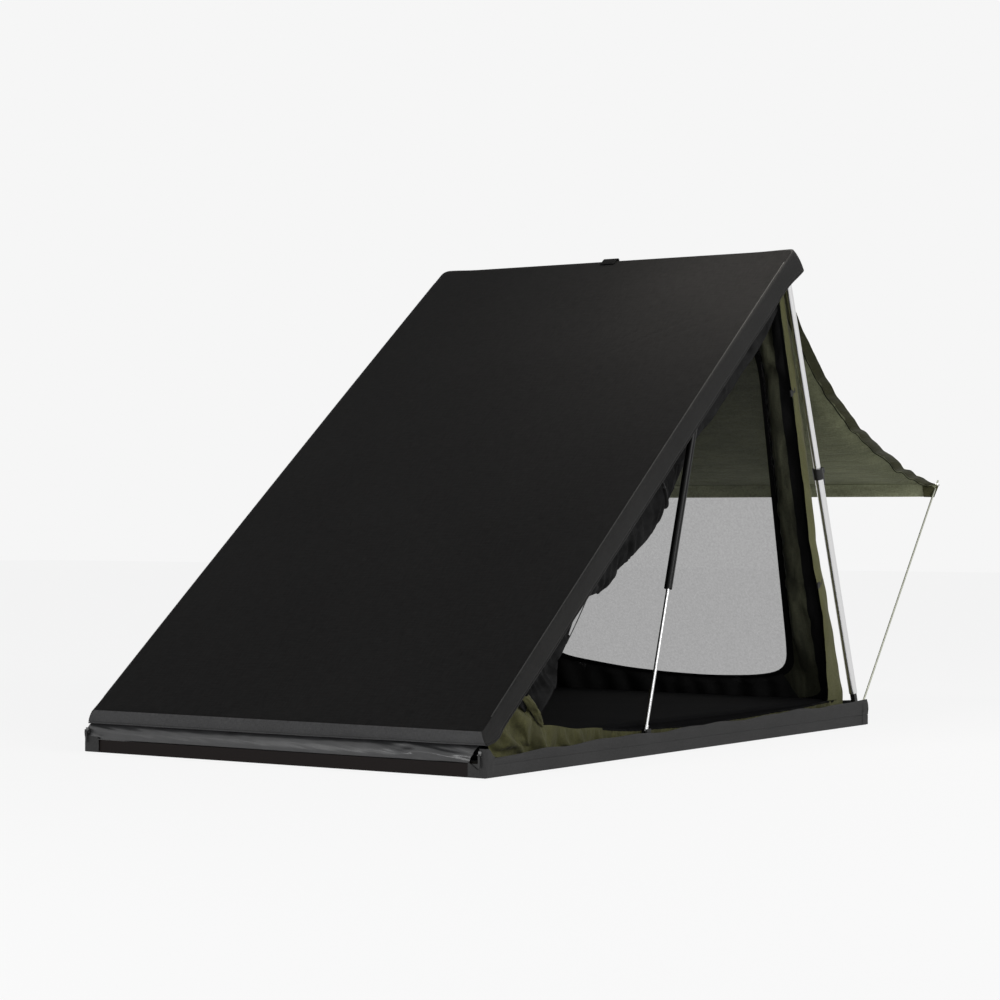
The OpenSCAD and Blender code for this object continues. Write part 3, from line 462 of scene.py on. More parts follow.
def make_cover():
    rings, on_front = [], []
    # the band reaches up to the third row of the rounded edge
    n_band, front_row = 7 + 4 + 3, 8
    for kind, ins, place, r in cover_profile():
        ring = []
        for x, yc in rect_loop(LID_HALF - ins, LID_L / 2 - ins, r, 90, 150, 10):
            y = yc + COV_MID
            low = cov_low(y) + 0.0016 * nz(x * 7 + 3, y * 7, 1.0) + 0.0012 * sin(y * 31) * nz(y * 2, 7.0)
            up = 1.0 if kind == TOP else 0.0
            if kind == HEM:
                zz = low + place / 1000
            elif kind == BAND:
                zz = low + (LID_TOP - EDGE_R - low) * place
                up = 0.5 if place > 0.6 else 0.0
            else:
                zz = place
            zz += cov_rise(x, y) * up
            px, py = x, y
            nxn = 1 if x > LID_HALF - 0.02 else (-1 if x < -LID_HALF + 0.02 else 0)
            nyn = 1 if yc > LID_L / 2 - 0.02 else (-1 if yc < -LID_L / 2 + 0.02 else 0)
            if kind != HEM or place in (0, 2, 5, 7):
                # the skirt lies loose: shallow waves that die out towards the top edge
                w = 0.0012 * nz(y * 6.0, x * 6.0, 2.2) + 0.0007 * nz(y * 17, x * 17, 5.0)
                w *= 1 - smooth((zz - 0.02) / 0.04)
                px += nxn * w
                py += nyn * w
            if ins > 0.012:
                # taut top, faint puckers that start at the edge seam
                edge = exp(-(ins - 0.01) / 0.05)
                zz += 0.0009 * nz(x * 3.1, y * 3.1, 0.4) + edge * 0.0008 * nz(y * 25, x * 25, 3.0)
                zz -= 0.0012 * bell((y - 1.66) / 0.004)
            deep = max(0.0, LID_TOP + cov_rise(x, y) * up - zz)
            # the rear corners lean outwards
            wr = smooth((yc - LID_L / 2 + 0.10) / 0.10) * smooth((abs(x) - LID_HALF + 0.17) / 0.15)
            py += wr * (0.007 * smooth(deep / 0.006) + 0.017 * sin(min(1.0, deep / 0.065) * 1.85))
            zz -= wr * 0.016 * smooth(deep / 0.07)
            # the loose lower corners of the front stand out
            flare = smooth((-yc - LID_L / 2 + 0.09) / 0.08) * smooth((abs(x) - LID_HALF + 0.05) / 0.045)
            px += copysign(0.012, x) * flare * min(1.0, deep / 0.045)
            # the front rows take the lighter front colour, which is painted light
            if len(rings) == front_row:
                on_front.append(yc < -LID_L / 2 + 0.006 and abs(x) < LID_HALF - 0.003)
            at = in_lid(px, py, zz)
            # at the front the loose hem hangs straight down instead of square to the lid
            wf = smooth((-yc - LID_L / 2 + 0.036) / 0.03)
            if wf > 0 and deep > 0 and ins < 0.012:
                edge_pt = in_lid(px, LID_FRONT + ins, LID_TOP)
                hang = edge_pt + Vector((0, -0.004 * sin(min(1, deep / 0.05) * pi),
                                        -(0.72 - 0.05 * smooth(x / 0.6)) * deep))
                at = at.lerp(hang, wf)
            turned = nxn if abs(yc) < LID_L / 2 - 0.01 else 0
            ring.append((at, (x - copysign(deep, x) * turned, y + deep)))
        rings.append(ring)
    o = from_grid("lid_cover_cloth", list(zip(*rings)), [M_COVER, M_BAND, M_FRONT_LIT], closed=True,
                  mat_of=lambda i, j: 0 if j >= n_band else (2 if on_front[i] else 1))
    return cap(o, [uv for at, uv in rings[-1]], outward=True)


cover = make_cover()
dress(cover, "lid", "lid_cover")

for s, nm in SIDES:
    line = []
    for k in range(121):
        y = LID_FRONT + 0.055 + (LID_L - 0.125) * k / 120
        line.append(in_lid(s * (LID_HALF - 0.0052), y, LID_TOP - 0.0008 + cov_rise(LID_HALF, y)))
    pipe = tube("lid_piping_cord_%s" % nm, line, 0.0017, M_PIPING)
    dress(pipe, "lid", "lid_piping")

# Pull loop of webbing at the rear edge: its width, thickness and side view, behind and above the lid's top edge
PULL_W, PULL_T = 0.048, 0.0022
PULL_SIDE = [(0.0022, -0.036), (0.0026, -0.014), (0.0062, -0.0065), (0.0074, -0.0030), (0.0062, 0.0012),
             (0.0020, 0.0040), (-0.006, 0.0048), (-0.026, 0.0045)]


def make_pull():
    runs = [0]
    for a, b in zip(PULL_SIDE, PULL_SIDE[1:]):
        runs.append(runs[-1] + dist(a, b))
    across = [-PULL_W / 2 + PULL_W * i / 8 for i in range(9)]
    rows = [[(in_lid(x, LID_REAR + a, LID_TOP + b), (x, run)) for (a, b), run in zip(PULL_SIDE, runs)] for x in across]
    o = from_grid("pull_loop", rows, M_BLACK)
    flat_area = area(o)
    return thick(o, PULL_T), flat_area


pull, pull_area = make_pull()
dress(pull, "lid", "pull_strap")

# Base: skirts, patches and mattress. The skirt is sewn down along the rail and stands free above the seam
SEAM_Z = 0.0315
SEAM = [(-0.0016, 0.0300), (0.0004, SEAM_Z)]


def skirt_top(y):
    g = (y + HALF_L) / (2 * HALF_L)
    return (52 + 17 * g + 4 * smooth((g - 0.5) / 0.4) - 11 * (1 - smooth(g / 0.15))
            + 2.2 * sin(2 * pi * 4.3 * g) + 1.6 * sin(2 * pi * 9.1 * g + 0.7)) / 1000


def skirt_rows(s, y0, y1, n, topf):
    rows = []
    for i in range(n + 1):
        y = y0 + (y1 - y0) * i / n
        t = topf(y) + 0.0015 * nz(y * 9, 4.0)
        sect = [(0.0, 0.001), (0.0, 0.010), (0.0, 0.020), (0.0, 0.0285), *SEAM]
        for k in range(1, 8):
            g = k / 7
            bulge = (0.0022 * sin(pi * g) + 0.0022 * g * nz(y * 7, g * 2, 6.0)
                     + 0.0012 * nz(y * 24, g * 3, 9.0) * g)
            sect.append((bulge - 0.001 * g, SEAM_Z + (t - SEAM_Z) * g))
        sect += [(-0.003 + 0.002 * nz(y * 7, 2.0, 6.0), t + 0.001), (-0.0055, t - 0.002), (-0.006, t - 0.012)]
        rows.append([((s * (HALF_W + a), y, z), (y, z)) for a, z in sect])
    return rows


for s, nm in SIDES:
    rows = skirt_rows(s, -HALF_L + 0.030, HALF_L - 0.001, 260, skirt_top)
    o = from_grid("side_skirt_%s" % nm, rows[::-s], M_SKIRT)
    dress(o, "base", "skirt_%s" % nm)
    # patch sewn round the rear corner
    rows = skirt_rows(s, HALF_L - 0.036, HALF_L + 0.0006, 12, lambda y: 0.0702)
    rows = [[((p[0] + s * 0.0013, p[1], p[2]), uv) for p, uv in row[:-2]] for row in rows]
    o = from_grid("rear_corner_patch_%s" % nm, rows[::-s], M_SKIRT)
    dress(o, "base")
    cloth_sheet(o, 0.080, 0.040)


def rear_skirt():
    rows = []
    n = 200
    for i in range(n + 1):
        x = -HALF_W + 2 * HALF_W * i / n
        g = i / n
        t = (69 + 2 * sin(2 * pi * 3.2 * g) - 1.5 * sin(2 * pi * 7 * g)) / 1000
        t += (0.043 - t) * smooth((abs(x) - 0.596) / 0.012)
        sect = [(0.0, 0.001), (0.0, 0.0285), *SEAM]
        for k in range(1, 7):
            q = k / 6
            bulge = 0.002 * sin(pi * q) + 0.002 * q * nz(x * 7, q * 2, 16.0)
            sect.append((bulge, SEAM_Z + (t - SEAM_Z) * q))
        sect += [(-0.003, t + 0.001), (-0.0055, t - 0.002), (-0.006, t - 0.012)]
        rows.append([((x, HALF_L + a, z), (x, z)) for a, z in sect])
    return from_grid("rear_skirt_cloth", rows, M_SKIRT)


o = rear_skirt()
dress(o, "base", "skirt_rear")

# Front corner patches: distances from the outer corner of the points along the front, and the radius at the corner
PATCH_FRONT = (0.051, 0.047, 0.043, 0.039, 0.035, 0.031, 0.0275, 0.0245, 0.0235, 0.0178, 0.0170, 0.0155, 0.013, 0.010,
               0.008, 0.006)
PATCH_R = 0.006


def patch_top(a, s):
    """Height of the patch on the front face, a from the outer corner; the right one is slit where the zip ends."""
    if s > 0:
        return 0.070 if a < 0.0175 else (0.020 + 0.019 * (a - 0.024) / 0.027 if a > 0.024 else 0.020)
    return 0.041 + 0.017 * smooth((0.022 - a) / 0.016)


def corner_patch(s, nm):
    """Cloth wrapped round a front corner: along the front, round the edge, a little way along the side."""
    path = [(HALF_W - a, -HALF_L, patch_top(a, s)) for a in PATCH_FRONT]
    for k in range(1, 8):
        a = radians(90 * k / 8)
        path.append((HALF_W - PATCH_R + PATCH_R * sin(a), -HALF_L + PATCH_R - PATCH_R * cos(a),
                     patch_top(0.004, s)))
    top = patch_top(0, s)
    path += [(HALF_W, -HALF_L + PATCH_R + 0.030 * k / 8, top + (0.050 - top) * smooth(k / 8)) for k in range(9)]
    rows, run = [], 0.0
    for i, p in enumerate(path):
        row = []
        for k in range(13):
            z = 0.001 + (p[2] - 0.001) * k / 12
            w = 0.0018 * nz(run * 60, z * 40, s * 3.0) * smooth(z / 0.03) + 0.0016 * smooth((z - 0.03) / 0.02)
            dx, dy = (0, -1) if i < 15 else ((0.7, -0.7) if i < 23 else (1, 0))
            row.append(((s * (p[0] + dx * (w + 0.0008)), p[1] + dy * (w + 0.0008), z), (run, z)))
        rows.append(row)
        if i + 1 < len(path):
            run += dist(p[:2], path[i + 1][:2])
    return from_grid("front_corner_patch_%s" % nm, rows[::s], M_SKIRT)


for s, nm in SIDES:
    o = corner_patch(s, nm)
    dress(o, "base", "corner_patches")
    cloth_sheet(o, 0.091, 0.072)

# Mattress: its half size and underside, and its side view as inset and height
BED_X, BED_Y, BED_Z = 0.555, 0.955, 0.0304
BED_SIDE = [
    (0.03, 0.0), (0.016, 0.0), (0.006, 0.003), (0.001, 0.009), (0.003, 0.013), (0.001, 0.017), (0.002, 0.024),
    (0.001, 0.033), (0.003, 0.0365), (0.001, 0.040), (0.006, 0.0455), (0.014, 0.0485), (0.03, 0.0500), (0.06, 0.0512),
    (0.11, 0.0525), (0.2, 0.0540), (0.32, 0.0550), (0.44, 0.0556), (0.53, 0.056)]


def make_mattress():
    rows = []
    for ins, z in BED_SIDE:
        row = []
        for x, y in rect_loop(BED_X - ins, BED_Y - ins, 0.03 if ins > 0.02 else 0.04, 40, 70, 8):
            dz = 0.0012 * nz(x * 5, y * 5, 3.3) + 0.002 * nz(x * 1.7, y * 1.7, 8.0) if z > 0.045 else 0.0
            out = 0.0015 * nz(x * 9, y * 9, z * 50) if 0.01 < z < 0.045 else 0.0
            f = 1 + out / BED_X
            row.append((Vector((x * f, y * f, BED_Z + z + dz)), (x, y + z)))
        rows.append(row)
    return close_up(from_grid("mattress_pad", list(zip(*rows)), M_MATTRESS, closed=True), rounded=True)


mattress = make_mattress()
dress(mattress, "base", "mattress")

# Front strip under the lid: its upper edge, its two ends and its foot on the rail
FRONT_TOP = in_lid(0, -0.004, 0.030)
STRIP_L, STRIP_R, STRIP_FOOT = -0.6285, 0.583, 0.0346


def make_strip():
    def f(u, v):
        x = STRIP_L + (STRIP_R + 0.020 * v - STRIP_L) * u
        edge = bell((x - STRIP_L) / 0.16)
        gather = smooth((x - 0.24) / 0.22)
        b = sin(pi * min(1, v * 1.02))
        w = (1.2 + 2.6 * edge) * nz(x * 7 + 2 * v, v * 1.8, 1.0)
        w += (0.8 + 1.6 * edge + 1.5 * gather) * nz(x * 22 + 6 * v, v * 2.2, 4.0)
        w += 0.9 * gather * nz(x * 60 + 16 * v, v * 3, 7.0)
        w += 2.4 * nz(x * 2.2, v * 2.4, 9.0)
        fold = (2.0 * edge + 4.6 * gather) * sin(38 * x + 6 * v + 2.5 * nz(x * 6, v * 2, 3.0))
        # a pinch where two folds meet
        pinch = 5.0 * bell((x - 0.40) / 0.025) * sin(2 * pi * v)
        y = -HALF_L + 0.004 + (FRONT_TOP[1] + HALF_L - 0.004) * v ** 1.4 - 0.008 * b - b * (w + fold + pinch) / 1000
        z = STRIP_FOOT + (FRONT_TOP[2] - STRIP_FOOT) * v + b * 0.4 * w / 1000
        return (x, y, z)
    return sheet_grid("front_strip_cloth", 420, 22, f, M_COATED, 1.2, 0.062)


strip = make_strip()
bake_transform(strip)
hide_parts("front_strip")
cloth_sheet(strip, 1.22, 0.08)

# Walls: the rear one leans forward from its foot to a line under the lid; its length, its way up and its way outwards
WALL_PEAK = in_lid(0, LID_REAR - 0.062, 0.010)
REAR_V = Vector((0, WALL_PEAK[1] - WALL_BACK, WALL_PEAK[2] - WALL_LOW))
REAR_LEN = REAR_V.length
REAR_U = REAR_V.normalized()
REAR_N = Vector((1, 0, 0)).cross(REAR_U).normalized()
if REAR_N[1] < 0:
    REAR_N = -REAR_N


def on_rear(x, q, d=0.0):
    """A point on the leaning rear wall: x across, q up along it, d outwards."""
    return Vector((x, WALL_BACK, WALL_LOW)) + REAR_U * q + REAR_N * d


# Outlines of the rear door's opening and of the mesh behind it: across, and up along the wall
DOOR = [(-0.405, 0.168), (-0.357, 0.149), (-0.155, 0.120), (0, 0.108), (0.15, 0.103), (0.30, 0.108), (0.385, 0.122),
        (0.418, 0.152), (0.426, 0.200), (0.468, 1.080), (0.440, REAR_LEN - 0.118), (-0.440, REAR_LEN - 0.118),
        (-0.468, 1.080), (-0.420, 0.205)]
MESH = [(-0.430, 0.100), (-0.20, 0.072), (0.20, 0.070), (0.430, 0.100), (0.486, 1.086), (0.470, REAR_LEN - 0.1),
        (-0.470, REAR_LEN - 0.1), (-0.486, 1.086)]


def between(p, q, g):
    return (p[0] + (q[0] - p[0]) * g, p[1] + (q[1] - p[1]) * g)


def resample(loop, n):
    """n points at even steps round a closed outline, after its corners are rounded off."""
    for _ in range(2):
        cut = []
        for p, q in zip(loop, loop[1:] + loop[:1]):
            d = min(0.25, 0.03 / max(1e-6, dist(p, q)))
            cut += [between(p, q, d), between(q, p, d)]
        loop = cut
    pts = loop + [loop[0]]
    seg = [dist(pts[i], pts[i + 1]) for i in range(len(loop))]
    total = sum(seg)
    out = []
    for k in range(n):
        d = total * k / n
        i = 0
        while d > seg[i]:
            d -= seg[i]
            i += 1
        out.append(between(pts[i], pts[i + 1], d / seg[i]))
    return out


# Rear wall: points round the door, and the steps from the door out to the wall's edge
WALL_RING = 240
WALL_STEPS = (0, 0.05, 0.10, 0.15, 0.22, 0.30, 0.38, 0.46, 0.54, 0.62, 0.69, 0.76, 0.84, 0.92, 1)


def make_rear_wall():
    inner = resample(DOOR, WALL_RING)
    hx, top, bot = WALL_X - 0.0025, REAR_LEN - 0.026, 0.004
    cy = REAR_LEN * 0.5
    rows = []
    for x, q in inner:
        dq = q - cy
        # out from the middle to the rectangle round the wall
        ts = []
        if x:
            ts.append((hx if x > 0 else -hx) / x)
        if dq:
            ts.append(((top if dq > 0 else bot) - cy) / dq)
        t = min(v for v in ts if v > 0)
        ox, oq = x * t, cy + dq * t
        row = []
        for j, g in enumerate(WALL_STEPS):
            a, b = between((x, q), (ox, oq), g)
            d = (0.005 * nz(a * 6, b * 3, 2.0) + 0.011 * nz(a * 18 + b * 2.5, b * 2.0, 5.0)) * sin(pi * g)
            d += 0.0015 if 2 <= j <= 3 else 0
            # two loose folds run up each side
            up_side = smooth((abs(a) - 0.42) / 0.05) * smooth((b - 0.10) / 0.2)
            wave = sin(2 * pi * (1.7 * g + 0.5 * nz(b * 1.6, 3.0) + 0.25 * b))
            d += 0.014 * up_side * sin(pi * g) * wave
            row.append((on_rear(a, b, d), (a, b)))
        rows.append(row)

    def cloth(i, j):
        x, q = inner[i]
        if j > 1 and q < (0.125 if x > 0 else 0.22):
            return 2
        # black next to the door is its binding; the black outer band, past 0.69 of the way out, is painted shadow
        # beside the near wall's strip
        return 0 if j < 3 or j > 9 else 1
    return from_grid("rear_wall_cloth", rows, [M_BLACK, M_DARK, M_FOOT], closed=True, mat_of=cloth)


wall_rear = make_rear_wall()
settle(wall_rear, [i * len(WALL_STEPS) + j for i in range(WALL_RING) for j in (0, 2, 3, 13, 14)], frames=24,
       slack=0.022, gravity=0.4)
dress(wall_rear, "base", "wall_rear")
cloth_sheet(wall_rear, 1.13, 1.34)

# Mesh: points round its outline, and rings from the outline in to the middle
MESH_RING, MESH_STEPS = 160, 40


def make_mesh():
    cy = REAR_LEN * 0.48
    rows = []
    for x, q in resample(MESH, MESH_RING):
        row = []
        for j in range(MESH_STEPS + 1):
            g = 1 - j / MESH_STEPS * 0.985
            a, b = x * g, cy + (q - cy) * g
            corner = (exp(-((a - 0.36) ** 2 + (b - 0.2) ** 2) / 0.03)
                      + 0.6 * exp(-((a + 0.3) ** 2 + (b - 0.2) ** 2) / 0.04))
            d = 0.0050 + 0.0022 * nz(a * 3, b * 3, 1.0) - 0.004 * corner * (0.5 + 0.5 * sin(60 * (b - 0.35 * a)))
            row.append((on_rear(a, b, d), (a, b)))
        rows.append(row)
    o = from_grid("rear_mesh_cloth", rows, M_MESH, closed=True)
    return cap(o, [row[-1][1] for row in rows])


mesh_panel = make_mesh()
dress(mesh_panel, "base", "mesh_rear")
cloth_sheet(mesh_panel, 0.98, 1.16)


def lid_line(y, drop):
    """Height under the lid at world y, on the line drop above (or below) the hinge plane of the lid."""
    t = (y - HY + drop * SA) / CA
    return HZ + t * SA + drop * CA


def rear_line(z):
    """World y of the rear edge of the side walls at height z."""
    return WALL_BACK + REAR_V[1] * (z - WALL_LOW) / REAR_V[2]


def make_left_wall():
    y0 = in_lid(0, 0.07, 0.01)[1]

    def f(u, v):
        # u along the length at the base, v up; the wedge is a ruled patch from the sill to the lid
        yb = y0 + (WALL_BACK - y0) * u
        p = in_lid(0, 0.07 + (LID_REAR - 0.132) * u, 0.010)
        y = yb + (p[1] - yb) * v
        z = WALL_LOW + (p[2] - WALL_LOW) * v
        d = (0.005 * nz(y * 4, z * 2.5, 3.0) * sin(pi * v) * smooth(u * 4)
             + 0.003 * nz(y * 11, z * 3, 6.0) * sin(pi * v))
        return (-WALL_X + d, y, z)
    return sheet_grid("left_wall_cloth", 120, 70, f, M_OLIVE, 1.93, 0.8)


wall_left = make_left_wall()
dress(wall_left, "base", "wall_left")
cloth_sheet(wall_left, 1.93, 1.30)

# Seam of the closed door on the left wall
zip_loop = resample([(-0.55, 0.115), (0.82, 0.115), (0.52, 1.10), (-0.42, 0.36)], 160)
zipper = tube("left_door_zip", [(-WALL_X - 0.006, y, z) for y, z in zip_loop + zip_loop[:1]], 0.0045, M_BLACK)
dress(zipper, "base")


def along(table, t):
    """A value read off a short list of (position, value) pairs, eased between them."""
    if t <= table[0][0]:
        return table[0][1]
    for (a, va), (b, vb) in zip(table, table[1:]):
        if t <= b:
            return va + (vb - va) * smooth((t - a) / (b - a))
    return table[-1][1]


# Near wall below the open door: a gusset at the front corner that runs out into a low hemmed sill
SILL_TOP = [(-0.800, 0.190), (-0.745, 0.122), (-0.700, 0.102), (-0.520, 0.083), (-0.217, 0.063), (0.100, 0.056),
            (0.330, 0.061), (0.650, 0.068), (0.930, 0.078)]


def sill_top(y):
    return min(lid_line(y, 0.0), along(SILL_TOP, y))


# Faces along and up the sill, and how its columns crowd towards the front
SILL_U, SILL_V, SILL_CROWD = 240, 26, 1.35


def make_sill():
    ya, yb = -0.936, 0.962

    def f(u, v):
        y = ya + (yb - ya) * u ** SILL_CROWD
        z = WALL_LOW - 0.004 + (sill_top(y) - WALL_LOW + 0.004) * v
        g = bell((y + 0.82) / 0.12)
        long = bell((y + 0.60) / 0.22)
        mid = sin(pi * min(1, v * 1.05))
        wave = sin(40 * (y + 1.9 * z) + 3 * nz(y * 5, z * 5))
        d = 0.010 * mid * long + (0.010 * g + 0.007 * long) * wave * mid
        d += (0.002 + 0.005 * g) * nz(y * 18 + z * 30, z * 14, 2.0)
        # the hem along the top stands out a little
        d += 0.005 * smooth((v - 0.86) / 0.1)
        return (WALL_X + d, y, z)
    # the top edge behind the strut is black: painted shadow
    shadowed_top = [ya + (yb - ya) * (i / SILL_U) ** SILL_CROWD > -0.42 for i in range(SILL_U)]
    return sheet_grid("near_sill_cloth", SILL_U, SILL_V, f, [M_OLIVE, M_BLACK], 1.95, 0.08,
                      mat_of=lambda i, j: 1 if shadowed_top[i] and j > 22 else 0)


sill = make_sill()
settle(sill, pins(SILL_U, SILL_V, lambda i, j: j in (0, 25, 26) or i in (0, SILL_U)), frames=20, slack=0.03,
       gravity=0.6)
dress(sill, "base", "wall_right")
cloth_sheet(sill, 1.90, 0.15)

# Near wall behind the open door: a strip up the rear edge, from z, its rear edge and its width
STRIP_EDGE = [(0.045, 1.012), (0.105, 1.0065), (0.335, 0.922), (0.562, 0.826), (0.858, 0.750), (1.264, 0.617),
              (1.32, 0.600)]
STRIP_WIDTH = [(0.045, 0.110), (0.110, 0.098), (0.336, 0.054), (0.562, 0.050), (0.857, 0.046), (1.261, 0.034),
               (1.32, 0.032)]


def linear(table, t):
    """A value read off a list of (position, value) pairs, straight between them."""
    for (a, va), (b, vb) in zip(table, table[1:]):
        if t <= b:
            return va + (vb - va) * (t - a) / (b - a)
    return table[-1][1]


def make_rear_strip():
    def f(u, v):
        z = 0.045 + 1.268 * u
        y = linear(STRIP_EDGE, z) + 0.003 * nz(z * 7, 5.0) - linear(STRIP_WIDTH, z) * v
        d = 0.004 * sin(pi * v) + 0.004 * nz(z * 5, v * 1.5, 1.0) + 0.003 * nz(z * 16, v * 2, 4.0)
        return (WALL_X + 0.002 + d, y, z)
    return sheet_grid("near_rear_strip_cloth", 140, 10, f, M_EDGE, 1.33, 0.07)


rear_strip = make_rear_strip()
dress(rear_strip, "base")
cloth_sheet(rear_strip, 1.34, 0.11)


def make_rear_lining():
    """Dark inner return of the rear corner, seen through the door."""
    def f(u, v):
        z = 0.050 + 1.24 * u
        y0 = linear(STRIP_EDGE, z) - linear(STRIP_WIDTH, z) - 0.002
        y1 = rear_line(z) - 0.004
        d = 0.003 * nz(z * 6, v * 2, 3.0) * v
        return (WALL_X - 0.004 * smooth(v * 4) - 0.004 * v + d, y0 + (y1 - y0) * v, z)
    return sheet_grid("near_rear_lining", 100, 8, f, M_BLACK, 1.3, 0.06)


lining = make_rear_lining()
dress(lining, "base")
cloth_sheet(lining, 1.30, 0.05)

# Near wall above the door, tucked up under the edge of the lid: how far it hangs, from the place along the lid
BAND_HANG = [(0.55, 0.020), (1.10, 0.050), (1.30, 0.080), (1.60, 0.092), (1.85, 0.096), (1.97, 0.075)]


def make_top_band():
    def f(u, v):
        y = 0.55 + (LID_REAR - 0.112 - 0.55) * u
        z = 0.012 - (along(BAND_HANG, y) + 0.012 + 0.008 * nz(y * 7, 1.0)) * v
        return in_lid(WALL_X - 0.004 + 0.006 * sin(pi * v) + 0.006 * v * nz(y * 8, v * 2, 4.0), y, z)
    return sheet_grid("near_top_band_cloth", 180, 10, f, M_DOOR, 1.5, 0.08)


band = make_top_band()
dress(band, "lid")
cloth_sheet(band, 1.45, 0.13)

# Front end of the opened door: its dark lining hangs from the lid edge down to the gusset
FLAP_LOW = [(0.205, -0.030), (0.226, -0.082), (0.266, -0.132), (0.298, -0.121), (0.372, -0.101), (0.436, -0.073),
            (0.514, -0.044), (0.620, -0.012), (0.660, -0.004)]
FLAP_U, FLAP_V = 90, 26


def make_flap():
    def f(u, v):
        y = 0.205 + 0.455 * u
        z = 0.012 + (linear(FLAP_LOW, y) - 0.012) * v
        d = 0.010 * sin(30 * y + 20 * z) + 0.006 * nz(y * 16, z * 12, 2.0)
        d *= sin(pi * v * 0.8) * smooth(u * 6)
        return in_lid(WALL_X + 0.007 + d, y, z)
    return sheet_grid("near_door_flap", FLAP_U, FLAP_V, f, M_DOOR, 0.46, 0.15)


flap = make_flap()
settle(flap, pins(FLAP_U, FLAP_V, lambda i, j: j < 3 or i in (0, FLAP_U) or (j == FLAP_V and i % 14 == 0)), frames=26,
       slack=0.03, gravity=0.5, bending=0.15)
dress(flap, "lid")
cloth_sheet(flap, 0.47, 0.16)


def make_gusset_fold():
    """Foot of the flap turned inside out: a small olive leaf that curls away from the lid line."""
    a, b, c = in_lid(0, 0.222, -0.026), in_lid(0, 0.232, -0.086), in_lid(0, 0.246, -0.150)

    def f(u, v):
        p = a * (1 - u) ** 2 + b * 2 * u * (1 - u) + c * u * u
        q = in_lid(0, 0.250, -0.040) * (1 - u) + in_lid(0, 0.268, -0.128) * u
        m = p.lerp(q, v * (1 - 0.3 * u))
        curl = 0.014 * sin(pi * v * 0.9) * sin(pi * (0.15 + 0.8 * u))
        curl += 0.003 * nz(u * 7, v * 6, 2.0)
        return (WALL_X + 0.012 + curl, m[1], m[2])
    return sheet_grid("near_gusset_fold", 30, 14, f, M_OLIVE, 0.12, 0.05)


leaf = make_gusset_fold()
dress(leaf, "lid")
cloth_sheet(leaf, 0.125, 0.06)

# Elastic cord along the front edge of the door
CORD_D = 0.0026
cord_pts = []
for k in range(13):
    g = k / 12
    sag = 0.003 * sin(pi * g)
    cord_pts.append((WALL_X + 0.004, -0.4875 - 0.1058 * g, 0.4192 - 0.1190 * g - sag))
elastic = tube("door_edge_cord", cord_pts, CORD_D / 2, M_PLASTIC)
dress(elastic, "lid")

# Rolled-up door along the lid: where it starts, how long it is, and where its ties stand as shares of its length
ROLL_Y, ROLL_RUN = 0.27 * LID_L, 0.602 * LID_L
TIES = (0.45, 0.68, 0.89)


def roll_r(g):
    return (12 + 18 * min(1, g / 0.12) + 44 * bell((g - 0.385) / 0.2)
            + 11 * bell((g - 0.16) / 0.07)) / 1000


def round_roll(r, wide, high, a):
    """Place across the lid and square to it on the roll of radius r, at the turn a."""
    return WALL_X - 0.006 - 0.40 * r + wide * cos(a), -0.004 - r + high * sin(a)


def make_roll():
    m, n = 150, 44
    rows = []
    for i in range(m + 1):
        g = i / m
        y = ROLL_Y + ROLL_RUN * g
        r = roll_r(g) + 0.003 * nz(y * 6, 3.0)
        for a in TIES:
            r *= 1 - 0.10 * bell((g - a) / 0.016)
        r *= 0.3 + 0.7 * smooth(min(1.0, g / 0.03, (1 - g) / 0.03))
        row = []
        for k in range(n + 1):
            a = 2 * pi * k / n
            w = (1 + 0.10 * nz(cos(a) * 1.6 + y * 1.5, sin(a) * 1.6, y * 2) + 0.05 * sin(4 * a + 5 * y)
                 + 0.07 * nz(cos(a) * 4, sin(a) * 4, y * 4))
            x, z = round_roll(r, 0.40 * r * w, r * w, a)
            row.append((in_lid(x, y, z), (y, a * 0.04)))
        rows.append(row)
    return close_up(from_grid("rolled_door", rows, M_DOOR), weld=1e-5, rounded=True)


roll = make_roll()
tied = []
for v in roll.data.vertices:
    along_lid = (v.co[1] - HY) * CA + (v.co[2] - HZ) * SA
    over_lid = -(v.co[1] - HY) * SA + (v.co[2] - HZ) * CA
    g = (along_lid - ROLL_Y) / ROLL_RUN
    high = over_lid > -0.004 - 0.75 * roll_r(min(1, max(0, g)))
    if high or min(abs(g - a) for a in (0.0, *TIES, 1.0)) < 0.012:
        tied.append(v.index)
settle(roll, tied, frames=18, slack=0.05, gravity=0.5, bending=0.8, tension=15, pressure=0.6)
dress(roll, "lid", "door_roll")

toggles = []
for k, g in enumerate(TIES):
    y = ROLL_Y + ROLL_RUN * g
    r = roll_r(g)
    pts = []
    for i in range(40):
        a = 2 * pi * i / 39
        x, z = round_roll(r, 0.41 * r, 0.99 * r, a)
        pts.append(in_lid(x, y + 0.003 * sin(2 * a), z))
    tie = tube("door_tie_%d" % k, pts, 0.0034, M_WEB, flat=2.2)
    dress(tie, "lid", "door_toggles")
    bar = box_mesh("door_toggle_bar_%d" % k, (0.009, 0.030, 0.008), in_lid(WALL_X - 0.014, y, -0.050 - 0.012 * k),
                   M_PLASTIC, bevel=0.003)
    bar.rotation_euler = (ANGLE, 0, 0)
    bpy.context.view_layer.update()
    dress(bar, "lid")
    toggles += [tie, bar]

# Awning: its upper edge, reach, fall, the bend of its slope, and its half width above and at the outer edge
A_TOP = in_lid(0, LID_REAR - 0.026, -0.001)
A_REACH, A_DROP, A_K = 1.040, 0.599, 1.8
A_W0, A_W1 = LID_HALF - 0.053, LID_HALF - 0.018
A_GRID, A_EDGE = (96, 120), 140


def a_fall(s):
    return (1 - exp(-A_K * s)) / (1 - exp(-A_K))


